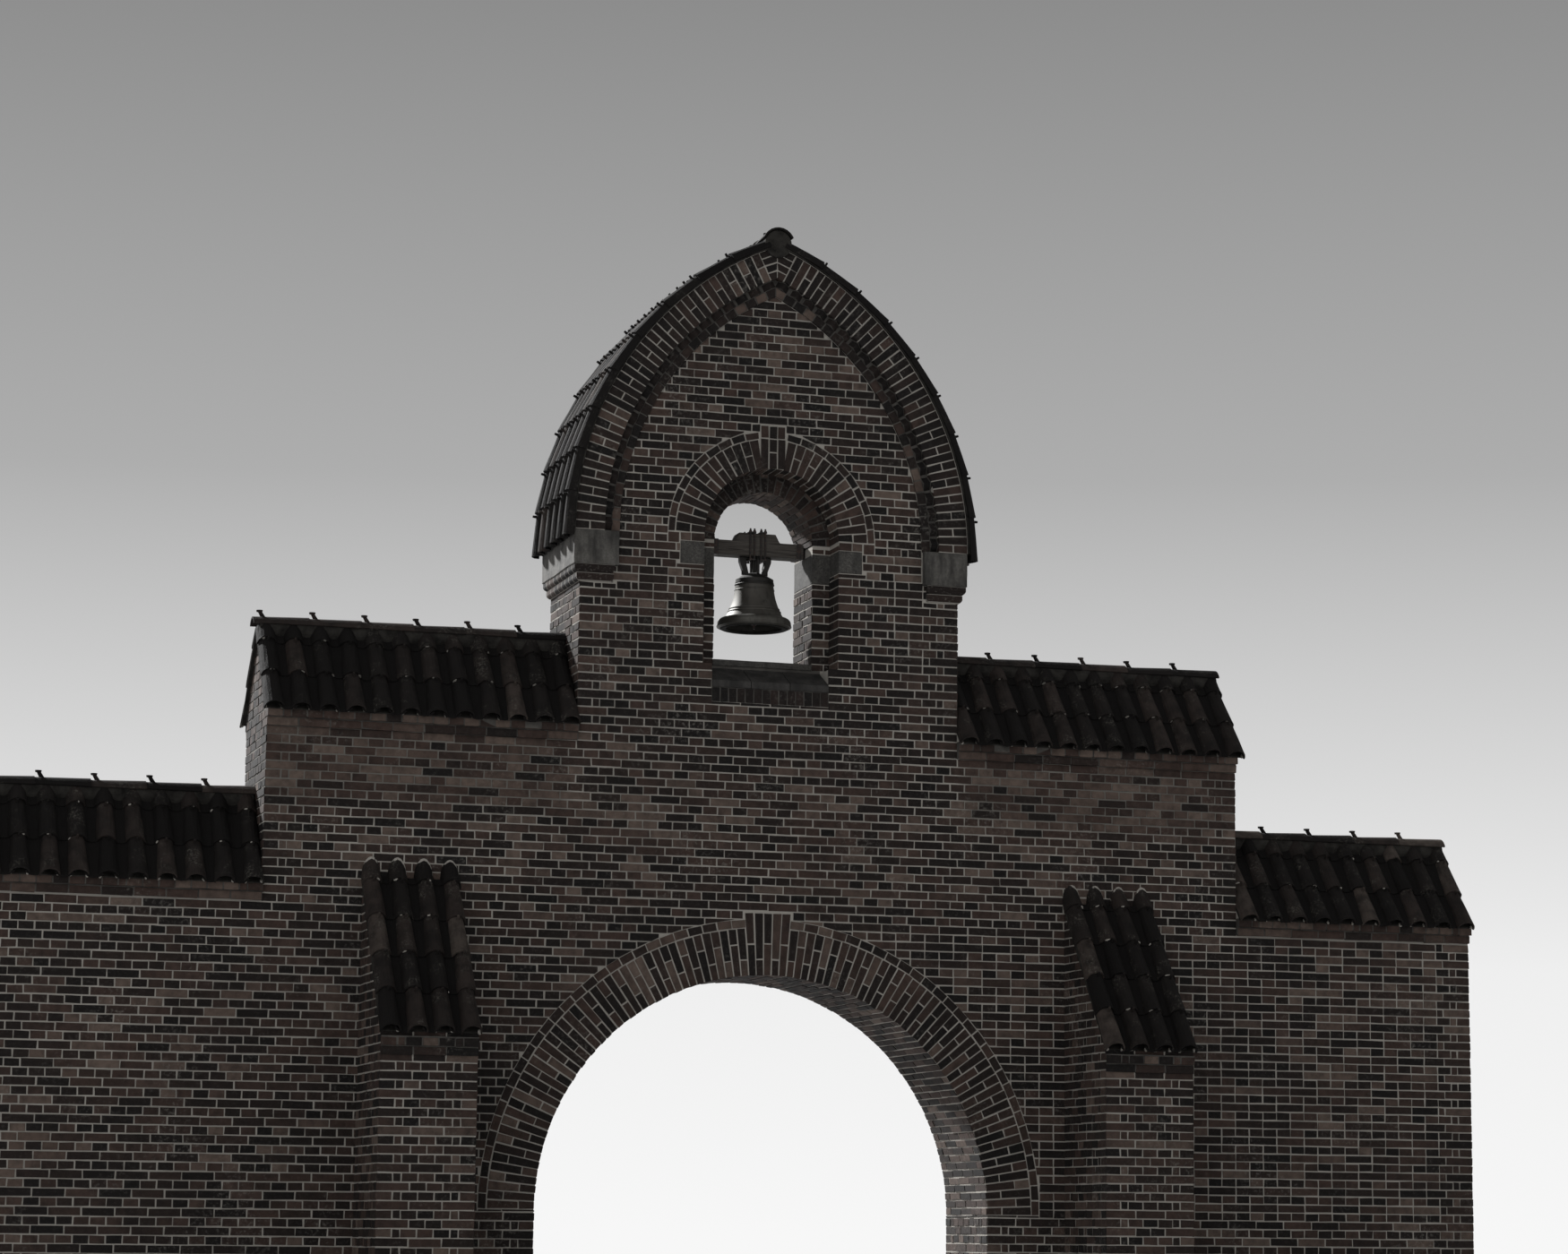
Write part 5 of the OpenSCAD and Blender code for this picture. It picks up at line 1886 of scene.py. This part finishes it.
class BELLGABLE_OT_stage(bpy.types.Operator):
    """Set the floor, the light and the camera"""
    bl_idname = "bell_gable.stage"
    bl_label = "Stage"
    bl_options = {"REGISTER", "UNDO"}

    @staticmethod
    def floor(scene, shade):
        bm = bmesh.new()
        bmesh.ops.create_circle(bm, cap_ends=True, segments=64, radius=90.0)
        move(bm, bm.verts, (0, 0, -0.002))
        obj = bpy.data.objects.new("floor", as_mesh(bm, "floor"))
        scene.collection.objects.link(obj)
        made = Finish("pale floor", 0.9)
        made.surface("Base Color", shade)
        obj.data.materials.append(made.material)

    @staticmethod
    def world(scene, strength):
        """An even light, and a backdrop that pales towards the horizon."""
        scene.world = scene.world or bpy.data.worlds.new("studio")
        scene.world.use_nodes = True
        sky = Nodes(scene.world.node_tree)
        place = sky.node("ShaderNodeTexCoord", output="Generated")
        up = sky.node("ShaderNodeSeparateXYZ", None, {0: place}, 2)
        stops = ((0.0, 0.93), (0.07, 0.86), (0.2, 0.42), (0.34, 0.24))
        shade = sky.node("ShaderNodeValToRGB", {"stops": stops}, {0: up})
        backdrop = sky.node("ShaderNodeBackground", None, {"Color": shade})
        light = sky.node("ShaderNodeBackground", None, {"Color": (1, 1, 1), "Strength": strength})
        direct, mirrored = [
            sky.node("ShaderNodeLightPath", output=f"Is {kind} Ray") for kind in ("Camera", "Glossy")]
        seen = direct.work("MAXIMUM", mirrored)
        mix = sky.node("ShaderNodeMixShader", None, {0: seen, 1: light, 2: backdrop})
        sky.close("ShaderNodeOutputWorld", mix.socket)

    @staticmethod
    def light(scene, name, energy, degrees, way):
        light = bpy.data.lights.new(name, "SUN")
        light.energy = energy
        light.angle = math.radians(degrees)
        obj = bpy.data.objects.new(name, light)
        obj.rotation_euler = Vector(way).to_track_quat("Z", "Y").to_euler()
        scene.collection.objects.link(obj)

    @staticmethod
    def camera(scene):
        """A long lens that looks up at the gable from the left."""
        yaw, pitch, roll = [math.radians(degrees) for degrees in (17.115, 9.263, 0.608)]
        camera = bpy.data.cameras.new("camera")
        camera.sensor_width = 36.0
        camera.lens = 85.63
        camera.clip_end = 500.0
        obj = bpy.data.objects.new("camera", camera)
        obj.matrix_world = (
            Matrix.Translation((-8.43, -28.194, 1.65)) @ Matrix.Rotation(-yaw, 4, "Z")
            @ Matrix.Rotation(math.pi / 2 + pitch, 4, "X") @ Matrix.Rotation(roll, 4, "Z"))
        scene.collection.objects.link(obj)
        scene.camera = obj

    def execute(self, context):
        scene = context.scene
        scene.view_settings.view_transform = "Standard"
        studio = scene.bell_gable_studio
        self.floor(scene, studio.floor)
        self.world(scene, studio.sky)
        self.light(scene, "key", studio.sun, 5, (-0.42, 0.8, 0.62))
        self.light(scene, "fill", studio.fill, 35, (-0.45, -0.85, 0.4))
        self.camera(scene)
        return {"FINISHED"}


# Sidebar and registration

OPERATORS = (
    BELLGABLE_OT_mortar, BELLGABLE_OT_faces, BELLGABLE_OT_ends, BELLGABLE_OT_eaves, BELLGABLE_OT_buttresses,
    BELLGABLE_OT_gateway, BELLGABLE_OT_window, BELLGABLE_OT_verge, BELLGABLE_OT_stones, BELLGABLE_OT_roofs,
    BELLGABLE_OT_gable_roof, BELLGABLE_OT_ridges, BELLGABLE_OT_bell, BELLGABLE_OT_stage)

GROUPS = {
    "bell_gable_bricks": BrickSizes,
    "bell_gable_tiles": TileSizes,
    "bell_gable_finishes": Finishes,
    "bell_gable_studio": Studio,
}


class BELLGABLE_PT_panel(bpy.types.Panel):
    """Sizes, colours and steps of the bell gable"""
    bl_idname = "BELLGABLE_PT_panel"
    bl_label = "Bell gable"
    bl_space_type = "VIEW_3D"
    bl_region_type = "UI"
    bl_category = "Bell gable"

    def draw(self, context):
        for name, group in GROUPS.items():
            box = self.layout.box()
            for key in group.__annotations__:
                box.prop(getattr(context.scene, name), key)
        for operator in OPERATORS:
            self.layout.operator(operator.bl_idname)


CLASSES = (*GROUPS.values(), *OPERATORS, BELLGABLE_PT_panel)


def register():
    for kind in CLASSES:
        bpy.utils.register_class(kind)
    for name, group in GROUPS.items():
        setattr(bpy.types.Scene, name, bpy.props.PointerProperty(type=group))


def unregister():
    for name in GROUPS:
        delattr(bpy.types.Scene, name)
    for kind in reversed(CLASSES):
        bpy.utils.unregister_class(kind)


def main():
    register()
    for operator in OPERATORS:
        getattr(bpy.ops.bell_gable, operator.bl_idname.partition(".")[2])()


if __name__ == "__main__":
    main()
